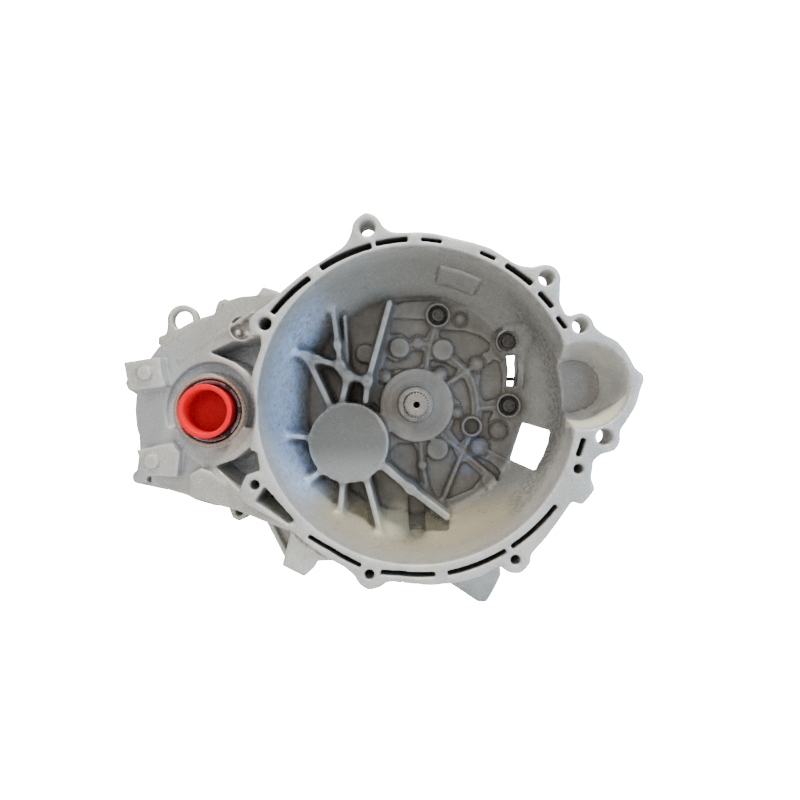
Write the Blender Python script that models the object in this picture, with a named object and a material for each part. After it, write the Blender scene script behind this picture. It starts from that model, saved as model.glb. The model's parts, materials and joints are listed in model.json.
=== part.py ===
"""Five-speed transverse manual transmission with its differential.

Lengths in this script are millimetres until a mesh is finished, which turns them into metres.
X runs to the right seen from the engine, Y runs from the engine face to the rear cover, Z is up.
The input shaft's axis is X = 0, Z = 0, and the engine face is the plane Y = 0.
"""

import math

import bmesh
import bpy
from mathutils import Matrix, Vector

MM = 0.001
GAP = 0.3

# Shaft axes, as (x, z)
INPUT = (0.0, 0.0)
OUTPUT = (-67.0, -38.7)
DIFF = (-196.6, -6.0)

# Planes along Y
FLANGE_BACK = 20.0
BELL_FLOOR = 96.0
JOINT = 116.0
CASE_FLANGE_BACK = 128.0
REAR_WALL = 279.0
COVER_JOINT = 299.0
COVER_TOP = 330.0

# Clutch housing
MOUTH_R = 144.0
SEAL_R = 30.6
RING_CHAMBER_R = 98.5
CARRIER_CHAMBER_R = 62.0
OUTPUT_BOSS_R = 40.2
INPUT_DISC_R = 35.0
RIB_TOP = 60.0
FLOOR_RIB_TOP = 88.0
STARTER = (152.0, 18.0)

# Gears
TEETH = {"first": (9, 27), "second": (13, 23), "third": (16, 20), "fourth": (19, 17), "fifth": (21, 15)}
REVERSE_TEETH = (9, 13, 23)
FINAL_TEETH = (16, 36)
TOOTH_SUM = 36
SHAFT_R = 13.0
HUB_R = 24.5
SLEEVE_HALF = 5.5
FINAL_Y = (104.5, 126.0)
GEAR_Y = {
    "first": (131.0, 145.0),
    "second": (165.0, 178.0),
    "third": (183.0, 195.0),
    "fourth": (215.0, 227.0),
    "fifth": (232.0, 243.0),
    "reverse": (263.0, 275.0),
}
SLEEVE_Y = {"1_2": 155.0, "3_4": 205.0, "5_r": 253.0}
RAIL = {"1_2": (-60.0, 45.0), "3_4": (-25.0, 60.0), "5_r": (-95.0, 35.0)}

MATERIALS = {
    "cast_aluminium": ((0.56, 0.56, 0.54), 0.35, 0.55),
    "machined_steel": ((0.62, 0.61, 0.59), 1.0, 0.28),
    "gear_steel": ((0.38, 0.38, 0.39), 1.0, 0.35),
    "bearing_steel": ((0.55, 0.55, 0.56), 1.0, 0.22),
    "bronze": ((0.62, 0.45, 0.22), 1.0, 0.4),
    "dark_bolt": ((0.12, 0.11, 0.10), 0.8, 0.5),
    "zinc_bolt": ((0.58, 0.56, 0.50), 0.9, 0.4),
    "seal_rubber": ((0.05, 0.045, 0.04), 0.0, 0.7),
    "red_plastic": ((0.80, 0.03, 0.02), 0.0, 0.4),
    "black_plastic": ((0.03, 0.03, 0.03), 0.0, 0.5),
}


# ---------------------------------------------------------------- outlines in the X-Z plane


def circle(x, z, r, count=24, start=0.0):
    step = 2 * math.pi / count
    return [(x + r * math.cos(start + i * step), z + r * math.sin(start + i * step)) for i in range(count)]


def hull(*circles, count=20):
    """The convex outline around circles given as (x, z, r)."""
    points = sorted({(round(x, 4), round(z, 4)) for c in circles for x, z in circle(*c, count)})

    def half(ordered):
        chain = []
        for p in ordered:
            while len(chain) > 1:
                (ax, az), (bx, bz) = chain[-2:]
                if (bx - ax) * (p[1] - az) - (bz - az) * (p[0] - ax) > 1e-9:
                    break
                chain.pop()
            chain.append(p)
        return chain[:-1]

    return half(points) + half(points[::-1])


def bar_outline(a, b, width):
    a, b = Vector(a), Vector(b)
    side = (b - a).normalized().orthogonal() * width / 2
    return [tuple(a + side), tuple(b + side), tuple(b - side), tuple(a - side)]


def polar(centre, r, degrees):
    angle = math.radians(degrees)
    return (centre[0] + r * math.cos(angle), centre[1] + r * math.sin(angle))


# ---------------------------------------------------------------- solids


def new_object(bm):
    bmesh.ops.recalc_face_normals(bm, faces=bm.faces)
    mesh = bpy.data.meshes.new("tool")
    bm.to_mesh(mesh)
    bm.free()
    obj = bpy.data.objects.new("tool", mesh)
    bpy.context.scene.collection.objects.link(obj)
    return obj


def loft(sections):
    """A solid through outlines of equal point count, given as (y, outline) or (y at each point, outline)."""
    bm = bmesh.new()
    rings = [[bm.verts.new((x, y, z)) for x, z in outline] for y, outline in sections]
    bm.faces.new(rings[0])
    bm.faces.new(rings[-1][::-1])
    for a, b in zip(rings, rings[1:]):
        for i in range(len(a)):
            bm.faces.new((a[i - 1], a[i], b[i], b[i - 1]))
    return new_object(bm)


def prism(outline, y0, y1):
    return loft([(y0, outline), (y1, outline)])


def bar(a, b, width, y0, y1):
    return prism(bar_outline(a, b, width), y0, y1)


def box(low, high):
    corners = [(low[0], low[2]), (high[0], low[2]), (high[0], high[2]), (low[0], high[2])]
    return prism(corners, low[1], high[1])


def turned(profile, origin=(0.0, 0.0, 0.0), axis="Y", count=24, start=0.0, ring=False):
    """A solid of revolution. The profile is (radius, distance along), and ring closes it on itself."""
    along = {"X": Vector((1, 0, 0)), "Y": Vector((0, 1, 0)), "Z": Vector((0, 0, 1))}[axis]
    u = {"X": Vector((0, 1, 0)), "Y": Vector((1, 0, 0)), "Z": Vector((1, 0, 0))}[axis]
    v = {"X": Vector((0, 0, 1)), "Y": Vector((0, 0, 1)), "Z": Vector((0, 1, 0))}[axis]
    origin = Vector(origin)
    bm = bmesh.new()
    rings = []
    for r, t in profile:
        if r < 1e-6:
            rings.append([bm.verts.new(origin + along * t)] * count)
            continue
        angles = [start + 2 * math.pi * i / count for i in range(count)]
        middle = origin + along * t
        rings.append([bm.verts.new(middle + u * r * math.cos(a) + v * r * math.sin(a)) for a in angles])
    pairs = list(zip(rings, rings[1:])) + ([(rings[-1], rings[0])] if ring else [])
    for a, b in pairs:
        for i in range(count):
            corners = list(dict.fromkeys((a[i - 1], a[i], b[i], b[i - 1])))
            if len(corners) > 2:
                bm.faces.new(corners)
    return new_object(bm)


def rod(centre, r, y0, y1, count=24, start=0.0):
    return turned([(0, y0), (r, y0), (r, y1), (0, y1)], (centre[0], 0, centre[1]), count=count, start=start)


def pin(origin, axis, r, length, count=16):
    return turned([(0, 0), (r, 0), (r, length), (0, length)], origin, axis, count)


def blade(centre, degrees, profile, width):
    """A flat rib in a plane through a shaft axis. The profile is (radius, y)."""
    a = math.radians(degrees)
    out, side = Vector((math.cos(a), 0, math.sin(a))), Vector((-math.sin(a), 0, math.cos(a)))
    base = Vector((centre[0], 0, centre[1]))
    bm = bmesh.new()
    faces = []
    for s in (-width / 2, width / 2):
        faces.append([bm.verts.new(base + out * r + side * s + Vector((0, y, 0))) for r, y in profile])
    bm.faces.new(faces[0])
    bm.faces.new(faces[1][::-1])
    for i in range(len(profile)):
        bm.faces.new((faces[0][i - 1], faces[0][i], faces[1][i], faces[1][i - 1]))
    return new_object(bm)


def combine(target, tools, operation):
    """Joins, cuts or intersects the target with every tool, and removes the tools.

    The castings' unions leave open edges with the EXACT solver. Every solid here is closed,
    as MANIFOLD needs.
    """
    for tool in tools:
        modifier = target.modifiers.new("combine", "BOOLEAN")
        modifier.operation = operation
        modifier.solver = "MANIFOLD"
        modifier.object = tool
    bpy.context.view_layer.update()
    graph = bpy.context.evaluated_depsgraph_get()
    mesh = bpy.data.meshes.new_from_object(target.evaluated_get(graph))
    target.modifiers.clear()
    target.data = mesh
    bm = bmesh.new()
    bm.from_mesh(mesh)
    bmesh.ops.remove_doubles(bm, verts=bm.verts, dist=0.001)
    bmesh.ops.dissolve_limit(bm, angle_limit=math.radians(0.05), verts=bm.verts, edges=bm.edges)
    bmesh.ops.triangulate(bm, faces=bm.faces)
    bm.to_mesh(mesh)
    bm.free()
    for tool in tools:
        bpy.data.objects.remove(tool)
    return target


def join(target, *tools):
    return combine(target, tools, "UNION")


def cut(target, *tools):
    return combine(target, tools, "DIFFERENCE")


def material(name):
    made = bpy.data.materials.get(name)
    if made is None:
        colour, metallic, roughness = MATERIALS[name]
        made = bpy.data.materials.new(name)
        made.use_nodes = True
        shader = made.node_tree.nodes["Principled BSDF"]
        shader.inputs["Base Color"].default_value = (*colour, 1.0)
        shader.inputs["Metallic"].default_value = metallic
        shader.inputs["Roughness"].default_value = roughness
    return made


def finish(obj, name, finish_name, origin=(0.0, 0.0, 0.0)):
    """Names the piece, gives it its material, moves its origin to its joint axis and turns it into metres."""
    obj.name = name
    obj.data.name = name
    obj.data.transform(Matrix.Scale(MM, 4) @ Matrix.Translation(-Vector(origin)))
    obj.location = Vector(origin) * MM
    obj.data.materials.clear()
    obj.data.materials.append(material(finish_name))
    obj.parent = stand
    obj.data.shade_smooth()
    obj.data.set_sharp_from_angle(angle=math.radians(32))
    return obj


# ---------------------------------------------------------------- shared outlines and bolt places

# The engine flange's outer edge, clockwise from the top lug
FLANGE = [
    (-46, 172.5), (-38, 169), (-32, 161.5), (-24, 156), (-14, 155), (3, 155.5), (17, 154), (33, 150.2),
    (51, 145.8), (66, 141), (78, 133.5), (87, 127.8), (94, 125), (103, 124), (113, 124.5), (123, 121.5),
    (128.5, 114), (128.5, 102), (128.5, 92), (134, 81), (140, 80), (148, 82), (156, 78), (160.5, 69.5),
    (168.5, 63), (180, 57), (189, 46), (195, 34), (203, 27.5), (204, 22), (201, 14), (197, 0),
    (189, -13.5), (183, -22.5), (182, -33.5), (177, -41), (166, -44), (158.5, -50.5), (156.5, -66),
    (159.5, -76), (149, -89), (139.5, -87), (130.5, -99.5), (117, -118), (103, -134), (101.5, -142),
    (93, -150.5), (82, -150), (74, -145), (57, -154), (34, -160), (12, -162), (-11, -160), (-26, -159),
    (-34, -164), (-44, -166), (-51, -161), (-56, -154), (-65, -146), (-83, -136), (-101, -123),
    (-114, -112), (-132, -101), (-155, -88), (-162, -76), (-156, -64), (-151, -50), (-149, -32),
    (-149, -10), (-149, 9), (-148, 32), (-145, 52), (-150, 64), (-151, 76), (-141, 86), (-132, 93),
    (-120.3, 103.5), (-103, 118), (-92, 125.6), (-78.3, 134.3), (-68, 141), (-63.3, 145.8),
    (-59.7, 153), (-56, 164),
]  # fmt: skip

THROUGH_LUGS = {  # (x, z): hole radius, boss radius, boss length
    (-45.0, 159.3): (7.0, 12.0, 30.0),
    (116.6, 114.6): (6.8, 12.0, 28.0),
    (146.7, 71.5): (6.6, 10.0, 22.0),
    (168.8, -28.8): (7.2, 12.2, 26.0),
    (-137.3, 73.4): (6.0, 11.0, 30.0),
}
TAPPED_LUGS = [(145.4, -57.6), (88.7, -139.5), (-42.8, -152.6), (-146.3, -72.0)]

# Pockets in the flange's face: ends and width
FLANGE_SLOTS = [
    ((-129, 85), (-99, 113), 5.8),
    ((-84.6, 125), (-44, 143), 6.2),
    ((-35, 146), (-11, 149.5), 5.4),
    ((5.4, 149.4), (20.7, 147.6), 3.8),
    ((58.5, 137.2), (69.3, 132.3), 4.0),
    ((82, 125), (101.7, 110.7), 5.4),
    ((111.6, 99.9), (120.6, 90.0), 5.2),
    ((127.4, 77.9), (133.2, 70.7), 4.4),
    ((149.8, -32.4), (145.8, -44.1), 5.0),
    ((124.2, -92.2), (86.9, -126.9), 4.5),
    ((78.3, -132.3), (29.7, -151.2), 4.5),
    ((14.4, -152.6), (-15.3, -151.8), 4.5),
    ((-18.5, -151.5), (-30.6, -150.8), 4.5),
    ((-52.2, -144.0), (-77.0, -130.4), 4.0),
    ((-80.0, -128.6), (-96.3, -119.2), 4.0),
]

# The lifting eye, the three bolts at the bell floor and the empty socket
EYE = (-257.0, 93.0)
BELL_BOLTS = [(24.7, 94.0), (98.7, 66.3), (99.3, -1.4)]
OPEN_SOCKET = (60.4, -23.2)
CASE_BOLTS = [polar(DIFF, 111.8, a) for a in (165, 95, 222, 273)] + [(-30.0, -112.0), (48.0, -68.0)]
COVER_BOLTS = [(40.0, 42.0), (44.0, -48.0), (-60.0, -103.0), (-121.0, -50.0), (-62.0, 58.0)]

# The joint between clutch housing and case is the sum of these convex outlines
JOINT_PARTS = [
    hull((*DIFF, 106), (*OUTPUT, 78), count=32),
    hull((*OUTPUT, 76), (*INPUT, 68), (-22, 70, 24), (-80, 62, 26), count=20),
    hull((*DIFF, 90), (-120, 66, 20), (-72, 70, 20), count=16),
    hull((24.7, 94, 12), (-10, 70, 18), (30, 50, 20), count=10),
    hull((98.7, 66.3, 11), (52, 40, 22), count=10),
    hull((99.3, -1.4, 11), (45, -6, 22), count=10),
] + [hull((*p, 10), (p[0] * 0.8 + DIFF[0] * 0.2, p[1] * 0.8 + DIFF[1] * 0.2, 16),
          count=8) for p in CASE_BOLTS[:4]]
JOINT_PARTS += [hull((*p, 10), (p[0] * 0.75 + c[0] * 0.25, p[1] * 0.75 + c[1] * 0.25, 16), count=8)
                for p, c in zip(CASE_BOLTS[4:], (OUTPUT, INPUT))]  # fmt: skip

COVER_PARTS = [hull((*INPUT, 50), (*OUTPUT, 54), (-60, 22, 33), count=20)]
COVER_PARTS += [hull((*p, 9), (p[0] * 0.7 - 12, p[1] * 0.7 - 8, 14), count=12) for p in COVER_BOLTS]


def hexagon(centre, across, y0, y1):
    return rod(centre, across / math.sqrt(3), y0, y1, count=6, start=math.pi / 6)


# ---------------------------------------------------------------- clutch housing


def clutch_housing():
    housing = prism(FLANGE, 0, FLANGE_BACK)
    outer = [(0, 2), (149, 2), (152, 20), (149, 45), (137, 74), (125, 94), (120, JOINT), (0, JOINT)]
    solids = [turned(outer, count=36)]

    # Starter pocket's shell
    centre = (STARTER[0], 0, STARTER[1])
    solids.append(turned([(0, 3), (47, 3), (46, 26), (36, 45), (0, 45)], centre, count=24))
    solids.append(prism(hull((*STARTER, 34), (112, 10, 40), count=16), 4, 44))

    # Differential side: a block whose front slopes back to the left, then the ring gear's chamber
    left = [
        (-118, 104), (-129, 103), (-165, 101), (-183, 97), (-193, 85), (-251, 54), (-280, 32), (-275, -45),
        (-280, -75), (-254, -81), (-219, -88), (-166, -99), (-137, -108), (-100, -122), (-95, 0),
    ]  # fmt: skip
    solids.append(loft([(8 + max(0.0, -140.0 - left[0][0]) * 0.336, left), (JOINT - 14, left)]))
    side = solids[-1]
    for vertex in side.data.vertices[: len(left)]:
        vertex.co.y = 8 + max(0.0, -140.0 - vertex.co.x) * 0.336
    solids.append(rod(DIFF, 103.5, 96, JOINT + 1, count=36))
    solids.append(rod(DIFF, 38.0, 27, 70, count=32))
    solids += [prism(outline, 102 + 0.4 * i, JOINT + 2 + 0.4 * i) for i, outline in enumerate(JOINT_PARTS)]

    # Mounting pads, block and feet
    pad_low = [(-265.3, -43.0), (-232.0, -36.4), (-224.4, -44.9), (-227.2, -68.7), (-257.7, -66.8)]
    solids.append(prism([(-277.5, 40.2), (-246.2, 45.4), (-237.7, 16.9), (-272.5, 13.6)], 27, 80))
    solids.append(prism(pad_low, 27, 80))
    solids.append(rod((-256.7, 30.1), 6.2, 25, 40, count=12))
    solids.append(rod((-250.1, -53.3), 6.6, 25, 40, count=12))
    solids.append(prism(hull((-278, -73, 7), (-250, -78, 8), (-262, -60, 9), count=12), 58, 96))
    block = [(-212.5, -65), (-202, -59.5), (-192, -63), (-177.5, -74.5), (-177.2, -96.5), (-213.3, -85.8)]
    solids.append(prism(block, 19, 60))
    foot = [(-112.9, -107.5), (-93.9, -106.6), (-92.1, -147.1), (-102.3, -156.5), (-122.9, -146.2)]
    solids.append(prism(foot, 5, 42))
    solids.append(bar((-143.6, -104.0), (-120.0, -150.0), 5, 28, 60))
    foot = [(20, -120), (34, -175), (61.1, -192.9), (69.3, -192.9), (77.4, -179.2), (83.5, -166.2),
            (78, -110)]  # fmt: skip
    solids.append(prism(foot, 42, 72))
    solids.append(prism([(-97, -110), (-92, -143), (-76, -142), (-64, -148), (-58, -138)], 7, 28))
    solids.append(prism([(-147, 95), (-147, 103), (-142.5, 109.8), (-128, 105.5), (-124, 95)], 14, 60))

    # Lug bosses behind the flange
    for place, (hole, boss, length) in THROUGH_LUGS.items():
        solids.append(rod(place, boss, 5, length, count=10))
    solids += [rod(place, 10.5, 5, 30, count=8) for place in TAPPED_LUGS]

    # Stiffening ribs outside the bell
    for degrees in (98, 32, -64, -94):
        solids.append(blade(INPUT, degrees, [(112, JOINT - 4), (120, JOINT - 4), (154, 14), (145, 14)], 5))
    join(housing, *solids)

    # The bell, the starter pocket and the chambers open to the rear
    inner = [(0, -2), (MOUTH_R, -2), (MOUTH_R, 20), (140.5, 44), (129, 72), (118, 88), (111, BELL_FLOOR)]
    inner.append((0, BELL_FLOOR))
    cuts = [turned(inner, count=42)]
    cuts.append(turned([(0, -2), (40, -2), (39, 5), (35, 24), (26, 38), (0, 38)], centre, count=20))
    cuts.append(prism(hull((*STARTER, 20), (128, 14, 22), count=16), 6, 37.5))
    cuts.append(rod(DIFF, RING_CHAMBER_R, 101, JOINT + 10, count=32))
    cuts.append(rod(DIFF, CARRIER_CHAMBER_R, 80, JOINT + 11, count=24))
    cuts.append(prism(hull((*OUTPUT, 64), (*INPUT, 54), (-25, 58, 16), (-90, 40, 16), count=20), 103,
                      JOINT + 9))
    cuts.append(prism(hull((*DIFF, 60), (*OUTPUT, 50), count=20), 103.6, JOINT + 12))
    cuts.append(box((-400, JOINT, -300), (300, JOINT + 40, 300)))
    cut(housing, *cuts)

    # Bearing bosses, rail bosses and the bell floor's raised work, held inside the bell's outer shape
    details = rod(OUTPUT, OUTPUT_BOSS_R, 58, 101, count=32)
    raised = [rod(INPUT, INPUT_DISC_R, 86, 100, count=32)]
    bosses = [
        (-16.9, 59.9, 10.5), (29.5, 57.8, 11.5), (-51.5, 52.5, 10.0), (24.1, -47.7, 11.5),
        (69.9, -46.6, 8.5),
        (79.5, -80.7, 7.5),
    ]  # fmt: skip
    for x, z, r in bosses:
        raised.append(rod((x, z), r, 87, 100.2, count=8 if r < 9 else 12))
    for place in BELL_BOLTS:
        raised.append(rod(place, 14.5, 84, 101.5, count=12))
    raised.append(rod(OPEN_SOCKET, 12.5, 84, 101.5, count=12))
    floor_ribs = [
        ((22.9, 90), (11.2, 30)), ((31, 60), (54.8, 31)), ((54.8, 31), (65.4, 9.8)),
        ((65.4, 9.8), (63, -20)),
        ((60, -3), (99, -1)), ((54.8, 31), (98, 66)), ((28, -20), (54.8, -56)), ((54.8, -53), (31.4, -110)),
        ((52, -54), (79, -80)), ((3.8, -30), (9.1, -88)),
    ]  # fmt: skip
    for i, (a, b) in enumerate(floor_ribs):
        raised.append(bar(a, b, 6.2, FLOOR_RIB_TOP + 0.1 * i, 99 + 0.05 * i))
    tall_ribs = [
        ((-50, -8), (-24.0, 106.0)), ((-76.0, 30), (-84.5, 100)), ((-69, 30), (-121, 53)),
        ((-72, 32), (-46, 23)),
        ((-69, -10), (-72, 31)), ((-78, -12), (-110, 46)), ((-95, -32), (-132, -33)),
        ((-88, -60), (-110, -82)),
        ((-73, -65), (-78, -112)), ((-60, -60), (-34, -131)), ((-40, -56), (29, -112)),
    ]  # fmt: skip
    for i, (a, b) in enumerate(tall_ribs):
        raised.append(bar(a, b, 4.8, RIB_TOP + 0.1 * i, 100.4 + 0.05 * i))
    join(details, *raised)
    inside = [(0, 40), (144, 40), (136, 68), (123, 90), (117, 102), (0, 102)]
    combine(details, [turned(inside, count=42)], "INTERSECT")
    bearing_boss = rod(INPUT, 38, 98, 112, count=24)
    rail_bosses = [rod(RAIL[key], 9, 98.5, JOINT - 0.5, count=8) for key in RAIL]
    join(housing, details, bearing_boss, *rail_bosses)

    cuts = []
    # Bearing seats, seal seat and shaft bore
    cuts.append(rod(DIFF, SEAL_R, 20, 90, count=32))
    cuts.append(rod(DIFF, 45, 70, 91, count=20))
    cuts.append(rod(INPUT, 16.5, 80, 120, count=20))
    cuts.append(rod(INPUT, 30, 93, 121, count=20))
    cuts.append(rod(OUTPUT, 31, 66, 120, count=20))
    cuts.append(rod(OUTPUT, 46.5, 101.5, 122, count=24))
    cuts += [rod(RAIL[key], 5.6, 104, 120, count=8) for key in RAIL]

    # Pockets between the bell and the differential boss, the crescent above the seal and the round recess
    upper = [(-194.0, 50.0), (-173.2, 58.4), (-142.0, 62.3), (-141.5, 52.2), (-150.5, 26.5), (-169.5, 40.3)]
    lower = [(-188.5, -58.6), (-169.5, -52), (-154, -40.5), (-145, -43.2), (-142.5, -58.5), (-154.5, -62.5),
             (-159, -72), (-162.5, -80)]  # fmt: skip
    corner = [(-137.5, -74.6), (-111.5, -104.0), (-116.0, -106.5), (-145.0, -86.5)]
    cuts += [prism(upper, -2, 64), prism(lower, -2, 64), prism(corner, -2, 50)]
    cuts.append(rod((-163.1, 71.5), 11.5, -2, 32, count=16))
    crescent = turned([(38.5, 5), (46.5, 5), (46.5, 46), (38.5, 46)], (DIFF[0], 0, DIFF[1]), count=28,
                      ring=True)
    keep = prism([(-260, -20), (-150, -20), (-130, -150), (-280, -150)], 0, 60)
    cuts.append(combine(crescent, [keep], "DIFFERENCE"))

    # Flange pockets, lug holes and tapped holes
    for a, b, width in FLANGE_SLOTS:
        cuts.append(bar(a, b, width, -2, 16))
    for place, (hole, boss, length) in THROUGH_LUGS.items():
        chamfered = [(0, -1), (hole + 2.2, -1), (hole, 1.2), (hole, length + 4), (0, length + 4)]
        cuts.append(turned(chamfered, (place[0], 0, place[1]), count=10))
    for x, z in TAPPED_LUGS:
        cuts.append(rod((x, z), 4.5, -1, 24, count=8))

    # Release-fork window, curved slot, bolt seats and the open socket
    cuts.append(prism([(115.2, -19.4), (140.0, -27.0), (126.0, -69.8), (102.0, -59.0)], 40, JOINT + 6))
    cuts.append(prism([(98.7, 53.0), (109.0, 53.0), (111.0, 36), (109.0, 19.6), (98.7, 19.6), (100.5, 36)],
                      70, 122))
    for place in BELL_BOLTS:
        seat = [(0, 70), (10.6, 70), (10.6, 91.6), (4.8, 91.6), (4.8, JOINT + 4), (0, JOINT + 4)]
        cuts.append(turned(seat, (place[0], 0, place[1]), count=12))
    cuts.append(rod(OPEN_SOCKET, 8.2, 70, 99, count=12))
    for place in CASE_BOLTS:
        cuts.append(rod(place, 4.6, 104, JOINT + 2, count=6))
    cuts.append(rod((-262.5, -74.5), 4.4, 50, 110, count=10))
    cut(housing, *cuts)
    return finish(housing, "clutch_housing", "cast_aluminium")


# ---------------------------------------------------------------- transmission case and rear cover


def transmission_case():
    front = JOINT + GAP
    case = prism(JOINT_PARTS[0], front - 2, CASE_FLANGE_BACK)
    solids = []
    for i, outline in enumerate(JOINT_PARTS[1:]):
        solids.append(prism(outline, front - 3 - 0.4 * i,
                            CASE_FLANGE_BACK - (0.05 if i > 4 else 0.4) * (i + 1)))
    body = ((*OUTPUT, 69), (*INPUT, 58), (-25, 62, 19), (-92, 40, 20))
    tail = ((*OUTPUT, 61), (*INPUT, 56), (-25, 60, 17), (-95, 35, 19), (10, -45, 38))
    solids.append(prism(hull(*body, count=20), front - 1, 238))
    solids.append(prism(hull(*tail, count=20), 230, COVER_JOINT + 1))
    for i, outline in enumerate(COVER_PARTS):
        solids.append(prism(outline, COVER_JOINT - 11 + 0.3 * i, COVER_JOINT + 2 + 0.3 * i))
    centre = (DIFF[0], 0, DIFF[1])
    dome = [(0, front - 1.5), (102.5, front - 1.5), (102.5, 131), (90, 146), (68, 158), (64, 184),
            (44, 198), (41, 212), (0, 212)]
    solids.append(turned(dome, centre, count=28))
    solids.append(prism(hull((*DIFF, 64), (*OUTPUT, 52), count=20), front - 1.2, 182))

    # Ribs on the differential dome and along the gear case
    for degrees in (70, 120, 172, 204, 257):
        solids.append(blade(DIFF, degrees, [(38, 150), (105, 122), (104, 134), (70, 164), (45, 208),
                                            (38, 208)], 5))
    for a, b in (((35, 52), (46, 62)), ((58, 12), (70, 16)), ((50, -40), (62, -48)),
                 ((-44, -100), (-38, -116))):
        mid = ((a[0] + INPUT[0]) / 2, (a[1] + INPUT[1]) / 2)
        solids.append(bar(mid, (a[0] * 0.4 + b[0] * 0.6, a[1] * 0.4 + b[1] * 0.6), 5, 122, COVER_JOINT - 4))
    for y in (158, 204):
        solids.append(prism(hull((*OUTPUT, 73), (*INPUT, 62), count=16), y, y + 5))

    # Selector tower, switch boss, top mount pads, side foot, lifting eye, plug bosses
    tower = (-58, 196)
    solids.append(turned([(0, 50), (25, 50), (25, 96), (0, 96)], (tower[0], tower[1], 0), "Z", 20))
    solids.append(turned([(0, 40), (13, 40), (13, 90), (0, 90)], (-22, 246, 0), "Z", 14))
    for x, y, top in ((4, 140, 92), (22, 184, 86), (4, 226, 90)):
        solids.append(turned([(0, 20), (12, 20), (11, top), (0, top)], (x, y, 0), "Z", 10))
    solids.append(box((-2, 136, 50), (12, 230, 76)))
    solids.append(box((50, 150, -40), (76, 176, -14)))
    solids.append(box((50, 206, -40), (76, 232, -14)))
    solids.append(prism(circle(*EYE, 18, 18), 117.5, 127.6))
    neck = [(-284.5, 66), (-284.5, 75), (-276, 78), (-272, 96), (-243, 96), (-236, 76), (-240, 60),
            (-262, 58)]  # fmt: skip
    solids.append(prism(neck, 117, 128))
    solids.append(turned([(0, -122), (15, -122), (15, -80), (0, -80)], (-112, 156, 0), "Z", 16))
    solids.append(turned([(0, 40), (15, 40), (15, 74), (0, 74)], (0, 262, 0), "X", 16))
    solids.append(turned([(0, 40), (8, 40), (8, 74), (0, 74)], (-70, 262, 0), "Z", 12))
    join(case, *solids)

    inner_body = ((*OUTPUT, 63.5), (*INPUT, 52.5), (-25, 60, 13), (-91, 38, 14))
    inner_tail = ((*OUTPUT, 56), (*INPUT, 50.5), (-25, 58, 11.5), (-95, 35, 14), (10, -45, 33))
    cuts = [prism(hull(*inner_body, count=20), 110, 232),
            prism(hull(*inner_tail, count=20), 230.5, REAR_WALL)]
    cuts.append(box((-400, 60, -300), (300, front, 300)))
    cuts.append(box((-400, COVER_JOINT, -300), (300, 360, 300)))
    chamber = [(0, 110), (98.3, 110), (98.3, 129), (86, 140), (63, 152), (59, 182), (0, 182)]
    cuts.append(turned(chamber, centre, count=28))
    cuts.append(prism(hull((*DIFF, 58), (*OUTPUT, 46), count=20), 111, 176))
    cut(case, *cuts)

    rail_bosses = [rod(RAIL[key], 8.5, 272, REAR_WALL + 4, count=8) for key in RAIL]
    idler_boss = rod(reverse_idler_centre(), 11, 276.5, REAR_WALL + 4, count=8)
    join(case, *rail_bosses, idler_boss)

    cuts = [rod(DIFF, SEAL_R, 176, 220, count=32), rod(DIFF, 38, 176, 192, count=20)]
    cuts += [rod(INPUT, 27, 270, 310, count=20), rod(OUTPUT, 31, 270, 310, count=20)]
    cuts += [rod(RAIL[key], 5.6, 260, 287, count=8) for key in RAIL]
    cuts.append(rod(reverse_idler_centre(), 8.5, 270, 290, count=12))
    cuts.append(pin((tower[0], tower[1], 60), "Z", 14.3, 60, 20))
    cuts.append(rod(EYE, 10.6, 100, 140, count=14))
    cuts.append(pin((-22, 246, 60), "Z", 7.6, 40, 12))
    cuts.append(pin((-70, 262, 52), "Z", 3.4, 30, 8))
    cuts.append(pin((-112, 156, -130), "Z", 8.6, 60, 12))
    cuts.append(pin((40, 262, 0), "X", 8.6, 60, 12))
    for x, y, top in ((4, 140, 92), (22, 184, 86), (4, 226, 90)):
        cuts.append(pin((x, y, top - 22), "Z", 4.3, 40, 6))
    for y in (163, 219):
        cuts.append(pin((60, y, -27), "X", 4.3, 40, 6))
    for place in BELL_BOLTS:
        cuts.append(rod(place, 4.6, 100, 134, count=6))
    for place in CASE_BOLTS:
        cuts.append(rod(place, 4.6, 100, 140, count=6))
    for place in COVER_BOLTS:
        cuts.append(rod(place, 3.7, 284, 310, count=6))
    cut(case, *cuts)
    return finish(case, "transmission_case", "cast_aluminium")


def rear_cover():
    front = COVER_JOINT + GAP
    cover = prism(COVER_PARTS[0], front - 1, front + 9)
    solids = [prism(outline, front - 2 - 0.3 * i, front + 8.9) for i, outline in enumerate(COVER_PARTS[1:])]
    body = ((*OUTPUT, 47), (*INPUT, 41), (-60, 20, 26))
    top = ((*OUTPUT, 40), (*INPUT, 34), (-60, 16, 20))
    solids.append(prism(hull(*body, count=20), front - 1.5, COVER_TOP - 8))
    solids.append(prism(hull(*top, count=16), COVER_TOP - 12, COVER_TOP))
    for degrees in (20, 80, 320):
        solids.append(blade(INPUT, degrees, [(8, 312), (41, 304), (41, 318), (34, 326),
                                             (8, COVER_TOP + 2)], 4))
    for degrees in (160, 220, 280):
        solids.append(blade(OUTPUT, degrees, [(8, 312), (47, 304), (47, 318), (40, 326),
                                              (8, COVER_TOP + 2)], 4))
    join(cover, *solids)
    inner = ((*OUTPUT, 42), (*INPUT, 36), (-60, 16, 22))
    cuts = [prism(hull(*inner, count=20), 280, COVER_TOP - 9), box((-400, 270, -300), (300, front, 300))]
    cuts += [rod(place, 3.7, 285, 340, count=6) for place in COVER_BOLTS]
    cut(cover, *cuts)
    return finish(cover, "rear_cover", "cast_aluminium")


# ---------------------------------------------------------------- gears and shafts


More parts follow.
